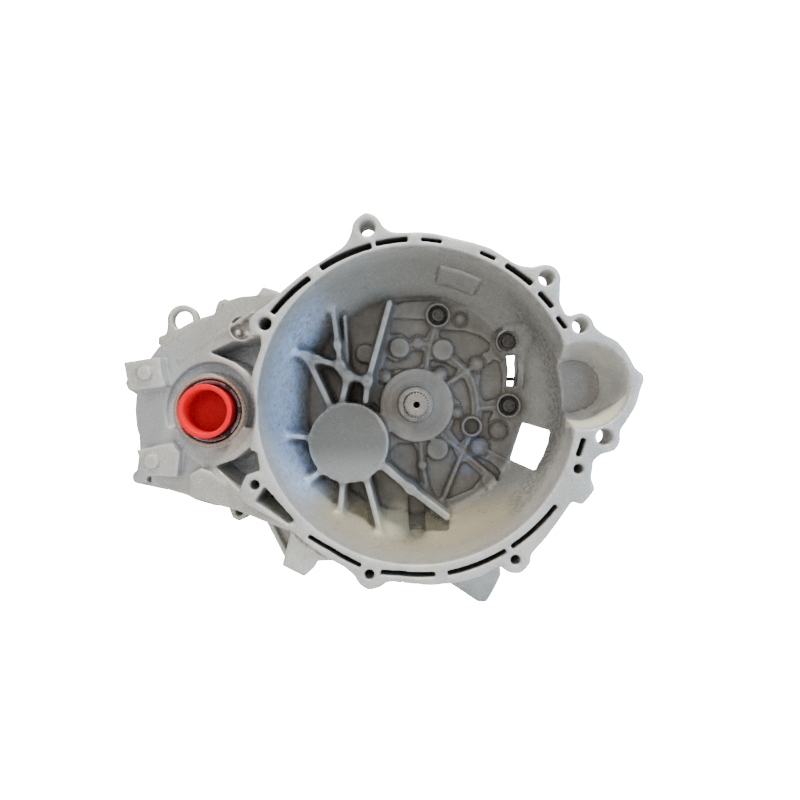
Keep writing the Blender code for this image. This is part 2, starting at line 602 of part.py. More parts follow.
def reverse_idler_centre():
    """The point that puts the idler in mesh with both reverse gears, below the input shaft."""
    module = gear_module()
    a = module * (REVERSE_TEETH[0] + REVERSE_TEETH[1]) / 2
    b = module * (REVERSE_TEETH[1] + REVERSE_TEETH[2]) / 2
    between = math.dist(INPUT, OUTPUT)
    towards = math.atan2(OUTPUT[1] - INPUT[1], OUTPUT[0] - INPUT[0])
    turn = math.acos((a * a + between * between - b * b) / (2 * a * between))
    return polar(INPUT, a, math.degrees(towards + turn))


def gear_module():
    return 2 * math.dist(INPUT, OUTPUT) / TOOTH_SUM


def final_module():
    return 2 * math.dist(OUTPUT, DIFF) / sum(FINAL_TEETH)


def gear_outline(centre, teeth, module, phase):
    """Flat-topped teeth with sloping flanks, thinner than half the pitch.

    A pair runs with backlash.
    """
    pitch = module * teeth / 2
    tip, root = pitch + 0.55 * module, pitch - 1.3 * module
    step = 2 * math.pi / teeth
    points = []
    for i in range(teeth):
        for r, share in ((root, -0.5), (tip, -0.11), (tip, 0.11)):
            a = phase + (i + share) * step
            points.append((centre[0] + r * math.cos(a), centre[1] + r * math.sin(a)))
    return points


def gear(centre, teeth, module, span, phase):
    return prism(gear_outline(centre, teeth, module, phase), *span)


def meshed_phase(centre, teeth, phase, other_centre, other_teeth):
    """The other gear's phase that sets its gap opposite this gear's tooth on the line of centres."""
    angle = math.atan2(other_centre[1] - centre[1], other_centre[0] - centre[0])
    share = (angle - phase) * teeth / (2 * math.pi)
    return angle + math.pi - (0.5 - share) * 2 * math.pi / other_teeth


def shaft_profile(steps):
    """A closed profile from (radius, y0, y1) steps that follow on from each other."""
    profile = [(0, steps[0][1])]
    for r, y0, y1 in steps:
        profile += [(r, y0), (r, y1)]
    profile.append((0, steps[-1][2]))
    return profile


def at(centre, y=0.0):
    return (centre[0], y, centre[1])


def free_gear(name, centre, teeth, phase, span, sleeve_side):
    """A gear that turns on its shaft, with the dog ring that its sleeve slides over."""
    piece = gear(centre, teeth, gear_module(), span, phase)
    ring = (span[1] - 1, span[1] + 3) if sleeve_side > 0 else (span[0] - 3, span[0] + 1)
    join(piece, rod(centre, HUB_R - 0.4, *ring, count=20))
    cut(piece, rod(centre, SHAFT_R + 0.9, span[0] - 10, span[1] + 10, count=16))
    return finish(piece, name, "gear_steel", at(centre, span[0]))


def gears_and_shafts():
    module = gear_module()
    pairs = {}
    for name, (drive, driven) in TEETH.items():
        pairs[name] = (0.0, meshed_phase(INPUT, drive, 0.0, OUTPUT, driven))

    # Input shaft: spline, first, second, fifth and reverse gears cut on it, and the third-fourth hub
    steps = [
        (9.6, 14, 17), (11.0, 17, 62), (12.0, 62, 108), (16.0, 108, 181), (SHAFT_R, 181, 230),
        (16.0, 230, 277.5), (12.0, 277.5, 296),
    ]  # fmt: skip
    shaft = turned(shaft_profile(steps), at(INPUT), count=14)
    parts = [gear(INPUT, TEETH[n][0], module, GEAR_Y[n], pairs[n][0]) for n in ("first", "second", "fifth")]
    parts.append(gear(INPUT, REVERSE_TEETH[0], module, GEAR_Y["reverse"], 0.0))
    parts.append(rod(INPUT, HUB_R, SLEEVE_Y["3_4"] - 5, SLEEVE_Y["3_4"] + 5, count=20))
    join(shaft, *parts)
    cut(shaft, turned([(0, 10), (3.4, 10), (3.4, 15), (1.6, 24), (0, 26)], at(INPUT), count=10))
    finish(shaft, "input_shaft", "machined_steel")

    # Output shaft: final pinion, and the first-second and fifth-reverse hubs
    final_phase = 0.3
    steps = [
        (16.0, 67, 84), (20.0, 84, 103.5), (20.0, 103.5, 128), (SHAFT_R, 128, 180.5), (16.0, 180.5, 229.5),
        (SHAFT_R, 229.5, 277.5), (12.0, 277.5, 296),
    ]  # fmt: skip
    shaft = turned(shaft_profile(steps), at(OUTPUT), count=14)
    parts = [gear(OUTPUT, FINAL_TEETH[0], final_module(), (FINAL_Y[0] - 0.5, FINAL_Y[1] + 0.5),
                  final_phase)]
    parts += [rod(OUTPUT, HUB_R, SLEEVE_Y[k] - 5, SLEEVE_Y[k] + 5, count=20) for k in ("1_2", "5_r")]
    join(shaft, *parts)
    finish(shaft, "output_shaft", "machined_steel", at(OUTPUT))

    # Gears that turn freely on the two shafts
    free_gear("third_drive_gear", INPUT, TEETH["third"][0], pairs["third"][0], GEAR_Y["third"], 1)
    free_gear("fourth_drive_gear", INPUT, TEETH["fourth"][0], pairs["fourth"][0], GEAR_Y["fourth"], -1)
    for name, side in (("first", 1), ("second", -1), ("fifth", 1)):
        free_gear(name + "_driven_gear", OUTPUT, TEETH[name][1], pairs[name][1], GEAR_Y[name], side)
    idler = reverse_idler_centre()
    idler_phase = meshed_phase(INPUT, REVERSE_TEETH[0], 0.0, idler, REVERSE_TEETH[1])
    reverse_phase = meshed_phase(idler, REVERSE_TEETH[1], idler_phase, OUTPUT, REVERSE_TEETH[2])
    free_gear("reverse_driven_gear", OUTPUT, REVERSE_TEETH[2], reverse_phase, GEAR_Y["reverse"], -1)

    # Gears fixed on the output shaft
    for name in ("third", "fourth"):
        y0, y1 = GEAR_Y[name]
        piece = gear(OUTPUT, TEETH[name][1], module, (y0, y1), pairs[name][1])
        cut(piece, rod(OUTPUT, 16.0 + 0.7, y0 - 5, y1 + 5, count=16))
        finish(piece, name + "_driven_gear", "gear_steel", at(OUTPUT, y0))

    # Reverse idler and its pin
    y0, y1 = GEAR_Y["reverse"]
    piece = gear(idler, REVERSE_TEETH[1], module, (y0, y1), idler_phase)
    cut(piece, rod(idler, 8.8, y0 - 5, y1 + 5, count=16))
    finish(piece, "reverse_idler_gear", "gear_steel", at(idler, y0))
    finish(rod(idler, 8.0, y0 - 4, 289.5, count=16), "reverse_idler_pin", "machined_steel")

    # Synchroniser sleeves
    for key, centre in (("1_2", OUTPUT), ("3_4", INPUT), ("5_r", OUTPUT)):
        y = SLEEVE_Y[key]
        profile = [
            (25.4, y - SLEEVE_HALF), (33, y - SLEEVE_HALF), (33, y - 2.4), (29, y - 2.4), (29, y + 2.4),
            (33, y + 2.4), (33, y + SLEEVE_HALF), (25.4, y + SLEEVE_HALF),
        ]  # fmt: skip
        piece = turned(profile, at(centre), count=16, start=math.pi / 16, ring=True)
        finish(piece, "sleeve_" + key, "machined_steel", at(centre, y))
    return final_phase


def bearing(name, centre, bore, outside, y0, y1):
    """A bearing as one ring that fills its seat."""
    profile = [(bore, y0), (outside, y0), (outside, y1), (bore, y1)]
    finish(turned(profile, at(centre), count=20, ring=True), name, "bearing_steel")


def differential(final_phase):
    ring_phase = meshed_phase(OUTPUT, FINAL_TEETH[0], final_phase, DIFF, FINAL_TEETH[1])
    y0, y1 = FINAL_Y
    ring = gear(DIFF, FINAL_TEETH[1], final_module(), (y0, y1), ring_phase)
    cut(ring, rod(DIFF, 60.0, y0 - 5, y1 + 5, count=24))
    finish(ring, "ring_gear", "gear_steel", at(DIFF, y0))

    # Carrier: a hollow case with trunnions, windows at its sides and a flange behind the ring gear
    carrier = turned([(0, 71), (22, 71), (22, 84), (50, 90), (57, 98), (57, 126.3), (72, 126.3),
                      (72, 130.6),
                      (57, 130.6), (54, 152), (44, 164), (22, 170), (22, 191), (0, 191)], at(DIFF),
                      count=18)  # fmt: skip
    middle = 126.0
    hollow = turned([(0, 91), (40, 91), (47, 104), (47, 148), (40, 161), (0, 161)], at(DIFF), count=20,
                    start=0.1)
    window = box((DIFF[0] - 70, 135, DIFF[1] - 26), (DIFF[0] + 70, 147, DIFF[1] + 26))
    cut(carrier, hollow, rod(DIFF, 17.3, 60, 200, count=16), window,
        pin((DIFF[0], middle, DIFF[1] - 90), "Z", 8.6, 180, 12))  # fmt: skip
    finish(carrier, "differential_carrier", "machined_steel", at(DIFF, middle))
    finish(pin((DIFF[0], middle, DIFF[1] - 56), "Z", 8.0, 112, 12), "spider_shaft", "machined_steel")

    # Bevel side gears on the axle axis, and spider gears on the cross shaft
    for name, sign in (("side_gear_front", -1), ("side_gear_rear", 1)):
        profile = [(11.5, 12), (18, 12), (33, 24), (36, 30), (16.2, 31), (16.2, 46), (11.5, 46)]
        piece = turned([(r, middle + sign * t) for r, t in profile], at(DIFF), count=16, ring=True)
        finish(piece, name, "gear_steel", at(DIFF, middle))
    for name, sign in (("spider_gear_upper", 1), ("spider_gear_lower", -1)):
        profile = [(8.9, 18), (11, 18), (21, 34), (20, 40), (8.9, 42)]
        piece = turned([(r, sign * t) for r, t in profile], (DIFF[0], middle, DIFF[1]), "Z", 16, ring=True)
        finish(piece, name, "gear_steel", (DIFF[0], middle, DIFF[1]))


def forks():
    """Each fork is a rail with an arm whose half ring sits in its sleeve's groove."""
    for key, centre in (("1_2", OUTPUT), ("3_4", INPUT), ("5_r", OUTPUT)):
        y = SLEEVE_Y[key]
        rail = RAIL[key]
        piece = rod(centre, 41, y - 2, y + 2, count=20)
        across = Vector((rail[0] - centre[0], rail[1] - centre[1]))
        away = Vector(centre) - across.normalized() * 60
        wide = across.orthogonal().normalized() * 60
        arm = hull((*rail, 9), (centre[0] + across.x * 0.42, centre[1] + across.y * 0.42, 20))
        join(piece, prism(arm, y - 1.9, y + 1.9))
        half = [tuple(Vector(centre) + wide), tuple(away + wide), tuple(away - wide),
                tuple(Vector(centre) - wide)]
        cut(piece, rod(centre, 29.8, y - 5, y + 5, count=20), prism(half, y - 6, y + 6))
        join(piece, rod(rail, 10, y - 8, y + 8, count=10), rod(rail, 5, 110, 281, count=8))
        finish(piece, "shift_fork_" + key, "bronze", at(rail, y))


# ---------------------------------------------------------------- outside fittings


def bolts():
    for i, place in enumerate(BELL_BOLTS):
        bolt = hexagon(place, 13, 83.5, 91.3)
        join(bolt, rod(place, 4.0, 88, 130, count=6))
        finish(bolt, f"bell_bolt_{i + 1}", "dark_bolt")
    for i, place in enumerate(CASE_BOLTS):
        top = CASE_FLANGE_BACK + GAP
        bolt = hexagon(place, 13, top, top + 8)
        join(bolt, rod(place, 4.0, 106.5, top + 4, count=6))
        finish(bolt, f"case_bolt_{i + 1}", "zinc_bolt")
    for i, place in enumerate(COVER_BOLTS):
        top = COVER_JOINT + GAP + 9 + GAP
        bolt = hexagon(place, 10, top, top + 6)
        join(bolt, rod(place, 3.2, 286, top + 4, count=6))
        finish(bolt, f"cover_bolt_{i + 1}", "zinc_bolt")


def fittings():
    # Guide sleeve around the input shaft, with its flange inside the bell
    profile = [(14.2, 36), (17.3, 36), (17.3, 84), (30, 84), (30, 85.7), (14.2, 85.7)]
    finish(turned(profile, at(INPUT), count=24, ring=True), "guide_sleeve", "machined_steel")

    # Axle seals, and the plugs that close the axle bores for transport
    for name, plug_name, face, sign in (("axle_seal_front", "axle_plug_front", 28.5, 1),
                                        ("axle_seal_rear", "axle_plug_rear", 211.0, -1)):  # fmt: skip
        profile = [(24.8, 3.5), (SEAL_R - GAP, 0), (SEAL_R - GAP, 9), (24.8, 9)]
        piece = turned([(r, face + sign * t) for r, t in profile], at(DIFF), count=32, ring=True)
        finish(piece, name, "seal_rubber")
        profile = [(0, 6), (19.2, 6), (20.2, -13), (25.6, -13.5), (25.6, -11), (23.7, -10), (23.5, 12),
                   (0, 12)]
        piece = turned([(r, face + sign * t) for r, t in profile], at(DIFF), count=24)
        finish(piece, plug_name, "red_plastic", at(DIFF, face))

    # Plugs, breather and reverse-light switch
    plug = turned([(0, -125.5), (11, -125.5), (11, -122.3), (8, -122.3), (8, -96), (0, -96)],
                  (-112, 156, 0), "Z", 16)
    join(plug, pin((-112, 156, -134), "Z", 8.0, 9.5, 6))
    finish(plug, "drain_plug", "zinc_bolt")
    plug = turned([(0, 77.5), (11, 77.5), (11, 74.3), (8, 74.3), (8, 58), (0, 58)], (0, 262, 0), "X", 16)
    join(plug, pin((76.5, 262, 0), "X", 8.0, 9.5, 6))
    finish(plug, "filler_plug", "zinc_bolt")
    switch = turned([(0, 66), (7, 66), (7, 90.3), (12, 90.3), (12, 99), (9, 101), (9, 118), (0, 118)],
                    (-22, 246, 0), "Z", 16)  # fmt: skip
    finish(switch, "reverse_light_switch", "black_plastic")

    # Selector: guide plate, sliding control shaft and the lever clamped on it
    x, y = -58, 196
    guide = turned([(9.0, 96.3), (24, 96.3), (24, 102), (15, 106), (13, 122), (9.0, 122)], (x, y, 0), "Z",
                   20, ring=True)
    finish(guide, "selector_guide", "cast_aluminium")
    shaft = pin((x, y, 56), "Z", 8.0, 102, 16)
    join(shaft, pin((x, y, 69), "Z", 12.5, 12, 16), box((x - 4, y, 57), (x + 4, y + 12.6, 64)))
    finish(shaft, "control_shaft", "machined_steel", (x, y, 56))
    lever = pin((x, y, 140), "Z", 14, 12, 20)
    arm = [(x - 4, y - 4), (x + 62, y - 4), (x + 66, y), (x + 66, y + 9), (x + 60, y + 12), (x, y + 13)]
    bm = bmesh.new()
    face = bm.faces.new([bm.verts.new((px, py, 142)) for px, py in arm])
    grown = bmesh.ops.extrude_face_region(bm, geom=[face])
    bmesh.ops.translate(bm, verts=[v for v in grown["geom"] if isinstance(v, bmesh.types.BMVert)],
                        vec=(0, 0, 7))
    join(lever, new_object(bm), pin((x - 34, y, 138), "Z", 12, 16, 16),
         box((x - 34, y - 4, 142), (x, y + 4, 149)),
         pin((x + 58, y + 4, 147), "Z", 5, 14, 12))  # fmt: skip
    cut(lever, pin((x, y, 130), "Z", 8.6, 40, 16))
    finish(lever, "shift_lever", "machined_steel", (x, y, 146))
    cap = turned([(0, 60), (3, 60), (3, 74.3), (6, 74.3), (6.6, 84), (4, 87), (0, 87.5)], (-70, 262, 0),
                 "Z", 12)
    finish(cap, "breather", "black_plastic")


# ---------------------------------------------------------------- build

for old in list(bpy.data.objects):
    bpy.data.objects.remove(old)
stand = bpy.data.objects.new("stand", None)
bpy.context.scene.collection.objects.link(stand)

clutch_housing()
transmission_case()
rear_cover()
differential(gears_and_shafts())
bearing("input_front_bearing", INPUT, 12.3, 29.7, 93.3, 107.5)
bearing("input_rear_bearing", INPUT, 12.3, 26.7, 280, 294)
bearing("output_front_bearing", OUTPUT, 16.3, 30.7, 67.5, 83.5)
bearing("output_rear_bearing", OUTPUT, 12.3, 30.7, 280, 294)
bearing("differential_front_bearing", DIFF, 22.3, 44.7, 71, 83.5)
bearing("differential_rear_bearing", DIFF, 22.3, 37.7, 177, 190)
forks()
bolts()
fittings()

# Put the frame's origin under the middle of the whole transmission, at the height of its lowest point
bpy.context.view_layer.update()
corners = [o.matrix_world @ Vector(c) for o in bpy.data.objects if o.type == "MESH" for c in o.bound_box]
low = [min(c[k] for c in corners) for k in range(3)]
high = [max(c[k] for c in corners) for k in range(3)]
stand.location = (-(low[0] + high[0]) / 2, -(low[1] + high[1]) / 2, -low[2])
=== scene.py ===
"""The look of a five-speed transverse manual transmission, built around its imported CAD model.

The castings are rebuilt on a distance grid, so that every rib and boss runs into its neighbour with a
cast fillet. Lengths are millimetres from the input shaft's axis at the engine face: X to the right seen
from the engine, Y towards the rear cover, Z up. Meshes are turned into metres when they are made.
"""

import json
import math
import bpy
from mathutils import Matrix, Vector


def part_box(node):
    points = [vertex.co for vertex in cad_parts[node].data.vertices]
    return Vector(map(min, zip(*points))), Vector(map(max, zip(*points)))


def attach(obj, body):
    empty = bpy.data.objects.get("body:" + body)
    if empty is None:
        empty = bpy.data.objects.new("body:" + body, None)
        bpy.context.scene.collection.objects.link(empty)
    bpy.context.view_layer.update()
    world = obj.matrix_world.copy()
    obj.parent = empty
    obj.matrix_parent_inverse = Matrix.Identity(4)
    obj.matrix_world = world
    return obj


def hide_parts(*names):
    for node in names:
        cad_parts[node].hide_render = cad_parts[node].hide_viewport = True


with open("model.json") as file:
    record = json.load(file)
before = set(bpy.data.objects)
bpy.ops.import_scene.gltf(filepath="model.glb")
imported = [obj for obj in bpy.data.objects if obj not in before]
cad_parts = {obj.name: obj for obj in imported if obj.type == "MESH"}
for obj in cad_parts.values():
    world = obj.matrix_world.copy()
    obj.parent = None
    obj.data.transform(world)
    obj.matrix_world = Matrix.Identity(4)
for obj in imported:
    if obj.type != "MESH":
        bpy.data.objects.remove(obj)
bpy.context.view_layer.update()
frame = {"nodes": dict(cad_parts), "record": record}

from types import SimpleNamespace

import bmesh
import bpy
import numpy as np
import openvdb
from mathutils import Vector

MM = 0.001
NODES = frame["nodes"]


def centre_of(node):
    low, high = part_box(node)
    return (Vector(low) + Vector(high)) / 2


# The row frame's place of the design origin: the input shaft's axis at the engine face
PLACE = Vector((centre_of("guide_sleeve").x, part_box("clutch_housing")[0][1], centre_of("guide_sleeve").z))


def design(point):
    """A row-frame point in design millimetres."""
    return (Vector(point) - PLACE) / MM


def axis_of(node):
    middle = design(centre_of(node))
    return (middle.x, middle.z)


INPUT = (0.0, 0.0)
OUTPUT = axis_of("output_front_bearing")
DIFF = axis_of("differential_front_bearing")

# Planes along Y and the main radii, as in the part
FLANGE_BACK = 20.0
BELL_FLOOR = 96.0
JOINT = 116.0
MOUTH_R = 144.0
SEAL_R = 30.6
OUTPUT_BOSS_R = 40.2
STARTER = (152.0, 18.0)

VOXEL = 1.0
BAND = 6


# ---------------------------------------------------------------- shapes as signed distances


def smooth_curve(points, steps=4):
    """A closed Catmull-Rom curve through the points, as an array."""
    p = np.array(points, float)
    a, b, c, d = (np.roll(p, -k, 0) for k in (-1, 0, 1, 2))
    rows = []
    for s in range(steps):
        t = s / steps
        square, cube = 2 * a - 5 * b + 4 * c - d, 3 * b - a - 3 * c + d
        rows.append(b + 0.5 * ((c - a) * t + square * t**2 + cube * t**3))
    return np.stack(rows, 1).reshape(-1, 2)


def outline_distance(u, v, points):
    """Signed distance in a plane to a closed outline, negative inside."""
    points = np.array(points, np.float32)
    best = np.full(np.broadcast(u, v).shape, 1e9, np.float32)
    inside = np.zeros(best.shape, bool)
    for (ax, ay), (bx, by) in zip(points, np.roll(points, -1, 0)):
        ex, ey = bx - ax, by - ay
        t = np.clip(((u - ax) * ex + (v - ay) * ey) / (ex * ex + ey * ey), 0, 1)
        best = np.minimum(best, (u - ax - t * ex) ** 2 + (v - ay - t * ey) ** 2)
        crosses = (ay > v) != (by > v)
        inside ^= crosses & (u < ax + (v - ay) * ex / (ey if ey else 1e-9))
    return np.where(inside, -np.sqrt(best), np.sqrt(best))


def extruded(flat, y, y0, y1):
    """Distance to a flat shape of the X-Z plane carried from y0 to y1."""
    tall = np.abs(y - (y0 + y1) / 2) - (y1 - y0) / 2
    return np.minimum(np.maximum(flat, tall), 0) + np.hypot(np.maximum(flat, 0), np.maximum(tall, 0))


def rod(centre, r, y0, y1, draft=0.0):
    """A round boss along Y. With draft, its radius grows towards larger y."""
    cx, cz = centre
    most = r + abs(draft) * (y1 - y0)

    def distance(x, y, z):
        return extruded(np.hypot(x - cx, z - cz) - r - draft * (y - y0), y, y0, y1)

    return distance, (cx - most, y0, cz - most), (cx + most, y1, cz + most)


def bar(a, b, width, y0, y1, draft=0.0, end_y0=None):
    """A rib between two points of the X-Z plane with round ends. end_y0 gives its top at b, if it slopes."""
    (ax, az), (bx, bz) = a, b
    ex, ez = bx - ax, bz - az
    end_y0 = y0 if end_y0 is None else end_y0
    most = width / 2 + abs(draft) * (y1 - min(y0, end_y0))

    def distance(x, y, z):
        t = np.clip(((x - ax) * ex + (z - az) * ez) / (ex * ex + ez * ez), 0, 1)
        top = y0 + (end_y0 - y0) * t
        flat = np.hypot(x - ax - t * ex, z - az - t * ez) - width / 2 - draft * (y - top)
        tall = np.maximum(top - y, y - y1)
        return np.minimum(np.maximum(flat, tall), 0) + np.hypot(np.maximum(flat, 0), np.maximum(tall, 0))

    low = (min(ax, bx) - most, min(y0, end_y0), min(az, bz) - most)
    return distance, low, (max(ax, bx) + most, y1, max(az, bz) + most)


def prism(points, y0, y1, shrink=0.0):
    """An outline of the X-Z plane from y0 to y1. shrink rounds its corners by that radius."""
    points = np.array(points, float)

    def distance(x, y, z):
        return extruded(outline_distance(x, z, points) - shrink, y, y0, y1)

    low, high = points.min(0) - shrink, points.max(0) + shrink
    return distance, (low[0], y0, low[1]), (high[0], y1, high[1])


def turned(profile, centre):
    """A solid of revolution about a line along Y. The profile is (radius, y)."""
    profile = np.array(profile, float)
    cx, cz = centre
    most = profile[:, 0].max()
    y0, y1 = profile[:, 1].min(), profile[:, 1].max()

    def distance(x, y, z):
        r = np.hypot(x - cx, z - cz)[:, 0, :]
        radii = np.arange(-2.0, max(most, r.max()) + 3, 0.5)
        heights = y.reshape(-1)
        sheet = outline_distance(radii[:, None], heights[None, :], profile)
        spot = (r - radii[0]) / 0.5
        i = spot.astype(int)
        f = (spot - i).astype(np.float32)[:, None, :]
        rows = np.moveaxis(sheet[i], -1, 1) * (1 - f) + np.moveaxis(sheet[i + 1], -1, 1) * f
        return rows.astype(np.float32)

    return distance, (cx - most, y0, cz - most), (cx + most, y1, cz + most)


def ball(centre, r):
    cx, cy, cz = centre

    def distance(x, y, z):
        return np.sqrt((x - cx) ** 2 + (y - cy) ** 2 + (z - cz) ** 2) - r

    return distance, (cx - r, cy - r, cz - r), (cx + r, cy + r, cz + r)


def upright(centre, r, z0, z1):
    """A round boss along Z, centred at (x, y)."""
    cx, cy = centre

    def distance(x, y, z):
        return extruded(np.hypot(x - cx, y - cy) - r, z, z0, z1)

    return distance, (cx - r, cy - r, z0), (cx + r, cy + r, z1)


class Casting:
    """A CAD node held as signed distances on a grid, to which relief is added and from which it is cut."""

    def __init__(self, node, voxel=VOXEL):
        mesh = NODES[node].data
        mesh.calc_loop_triangles()
        points = np.empty(len(mesh.vertices) * 3, np.float32)
        mesh.vertices.foreach_get("co", points)
        corners = np.empty(len(mesh.loop_triangles) * 3, np.int32)
        mesh.loop_triangles.foreach_get("vertices", corners)
        points = (points.reshape(-1, 3) - np.array(PLACE, np.float32)) / MM
        self.node, self.voxel = node, voxel
        self.low = np.floor(points.min(0) / voxel).astype(int) - BAND
        self.size = np.ceil(points.max(0) / voxel).astype(int) + BAND + 1 - self.low
        grid = openvdb.FloatGrid.createLevelSetFromPolygons(
            points,
            triangles=corners.reshape(-1, 3).astype(np.uint32),
            transform=openvdb.createLinearTransform(voxel),
            halfWidth=BAND,
        )
        self.d = np.empty(self.size, np.float32)
        grid.copyToArray(self.d, ijk=tuple(int(v) for v in self.low))

    def region(self, low, high, margin):
        cells, axes = [], []
        for k in range(3):
            first = int(np.floor((low[k] - margin) / self.voxel)) - self.low[k]
            last = int(np.ceil((high[k] + margin) / self.voxel)) - self.low[k] + 1
            first, last = max(0, first), max(0, min(self.size[k], last))
            cells.append(slice(first, last))
            axes.append(((np.arange(first, last) + self.low[k]) * self.voxel).astype(np.float32))
        x, y, z = axes
        return tuple(cells), x[:, None, None], y[None, :, None], z[None, None, :]

    def blend(self, shape, fillet, within, sign):
        distance, low, high = shape
        cells, x, y, z = self.region(low, high, fillet + 2)
        a, b = sign * self.d[cells], distance(x, y, z)
        if within is not None:
            b = np.maximum(b, within[0](x, y, z))
        h = np.maximum(fillet - np.abs(a - b), 0) / fillet
        self.d[cells] = sign * (np.minimum(a, b) - h * h * fillet / 4)

    def add(self, shape, fillet=2.0, within=None):
        """Joins a shape on, with a fillet where it meets what is there."""
        self.blend(shape, fillet, within, 1)

    def cut(self, shape, fillet=1.0, within=None):
        """Cuts a shape out, with a fillet along the edge it leaves."""
        self.blend(shape, fillet, within, -1)

    def soften(self, passes):
        """Rounds every edge and corner a little, as a casting's are."""
        for _ in range(passes):
            for axis in range(3):
                d = np.moveaxis(self.d, axis, 0)
                d[1:-1] = d[1:-1] * 0.5 + (d[:-2] + d[2:]) * 0.25

    def piece(self, name, thin=0.0, wells=()):
        grid = openvdb.FloatGrid(float(BAND * self.voxel))
        grid.copyFromArray(self.d, ijk=tuple(int(v) for v in self.low))
        grid.transform = openvdb.createLinearTransform(self.voxel)
        grid.gridClass = openvdb.GridClass.LEVEL_SET
        points, triangles, quads = grid.convertToPolygons(isovalue=0.0, adaptivity=thin)
        made = grid_mesh(name, points, triangles, quads)
        # How hollow the surface is around each point, for grime and painted shade in corners and wear on
        # edges
        wide = self.d.copy()
        for _ in range(3):
            for axis in range(3):
                d = np.moveaxis(wide, axis, 0)
                d[2:-2] = (d[2:-2] + d[:-4] + d[4:] + d[1:-3] + d[3:-1]) / 5
        cells = np.rint(np.asarray(points) / self.voxel).astype(int) - self.low
        near = tuple(np.clip(cells, 0, self.size - 1).T)
        hollow = made.data.attributes.new("hollow", "FLOAT", "POINT")
        hollow.data.foreach_set("value", (wide[near] - self.d[near]).astype(np.float32))
        # How deep the surface is in each narrow pocket, from 0 to 1
        points = np.asarray(points, np.float32)
        depth = np.zeros(len(points), np.float32)
        for distance, low, high in wells:
            close = np.all((points > np.array(low) - 1.0) & (points < np.array(high) + 1.0), axis=1)
            x, y, z = points[close].T
            sunk = (distance(x, y, z) < 0.7) * np.clip((y - 1.2) / 3.0, 0.0, 1.0)
            depth[close] = np.maximum(depth[close], sunk)
        well = made.data.attributes.new("well", "FLOAT", "POINT")
        well.data.foreach_set("value", depth)
        return made


def grid_mesh(name, points, triangles, quads):
    """A Blender object from a grid's surface, in metres in the row frame, with its faces turned outwards."""
    points = np.asarray(points, np.float64) * MM + np.array(PLACE)
    triangles = np.asarray(triangles, np.int32).reshape(-1, 3)[:, ::-1]
    quads = np.asarray(quads, np.int32).reshape(-1, 4)[:, ::-1]
    mesh = bpy.data.meshes.new(name)
    mesh.vertices.add(len(points))
    mesh.vertices.foreach_set("co", points.reshape(-1).astype(np.float32))
    corners = np.concatenate([triangles.reshape(-1), quads.reshape(-1)])
    mesh.loops.add(len(corners))
    mesh.loops.foreach_set("vertex_index", corners)
    starts = np.concatenate([np.arange(len(triangles)) * 3, len(triangles) * 3 + np.arange(len(quads)) * 4])
    mesh.polygons.add(len(starts))
    mesh.polygons.foreach_set("loop_start", starts.astype(np.int32))
    mesh.update(calc_edges=True)
    mesh.validate()
    mesh.shade_smooth()
    made = bpy.data.objects.new(name, mesh)
    bpy.context.scene.collection.objects.link(made)
    return made


# ---------------------------------------------------------------- clutch housing

# The engine flange's outer edge, clockwise from the top lug, as in the part
FLANGE = [
    (-46, 172.5), (-38, 169), (-32, 161.5), (-24, 156), (-14, 155), (3, 155.5), (17, 154), (33, 150.2),
    (51, 145.8), (66, 141), (78, 133.5), (87, 127.8), (94, 125), (103, 124), (113, 124.5), (123, 121.5),
    (128.5, 114), (128.5, 102), (128.5, 92), (134, 81), (140, 80), (148, 82), (156, 78), (160.5, 69.5),
    (168.5, 63), (180, 57), (189, 46), (195, 34), (203, 27.5), (204, 22), (201, 14), (197, 0),
    (189, -13.5), (183, -22.5), (182, -33.5), (177, -41), (166, -44), (158.5, -50.5), (156.5, -66),
    (159.5, -76), (149, -89), (139.5, -87), (130.5, -99.5), (117, -118), (103, -134), (101.5, -142),
    (93, -150.5), (82, -150), (74, -145), (57, -154), (34, -160), (12, -162), (-11, -160), (-26, -159),
    (-34, -164), (-44, -166), (-51, -161), (-56, -154), (-65, -146), (-83, -136), (-101, -123),
    (-114, -112), (-132, -101), (-155, -88), (-162, -76), (-156, -64), (-151, -50), (-149, -32),
    (-149, -10), (-149, 9), (-148, 32), (-145, 52), (-150, 64), (-151, 76), (-141, 86), (-132, 93),
    (-120.3, 103.5), (-103, 118), (-92, 125.6), (-78.3, 134.3), (-68, 141), (-63.3, 145.8),
    (-59.7, 153), (-56, 164),
]

THROUGH_LUGS = {  # (x, z): hole radius, boss radius, boss length
    (-45.0, 159.3): (7.0, 12.0, 30.0),
    (116.6, 114.6): (6.8, 12.0, 28.0),
    (146.7, 71.5): (6.6, 10.0, 22.0),
    (168.8, -28.8): (7.2, 12.2, 26.0),
    (-137.3, 73.4): (6.0, 11.0, 30.0),
}
TAPPED_LUGS = [(145.4, -57.6), (88.7, -139.5), (-42.8, -152.6), (-146.3, -72.0)]

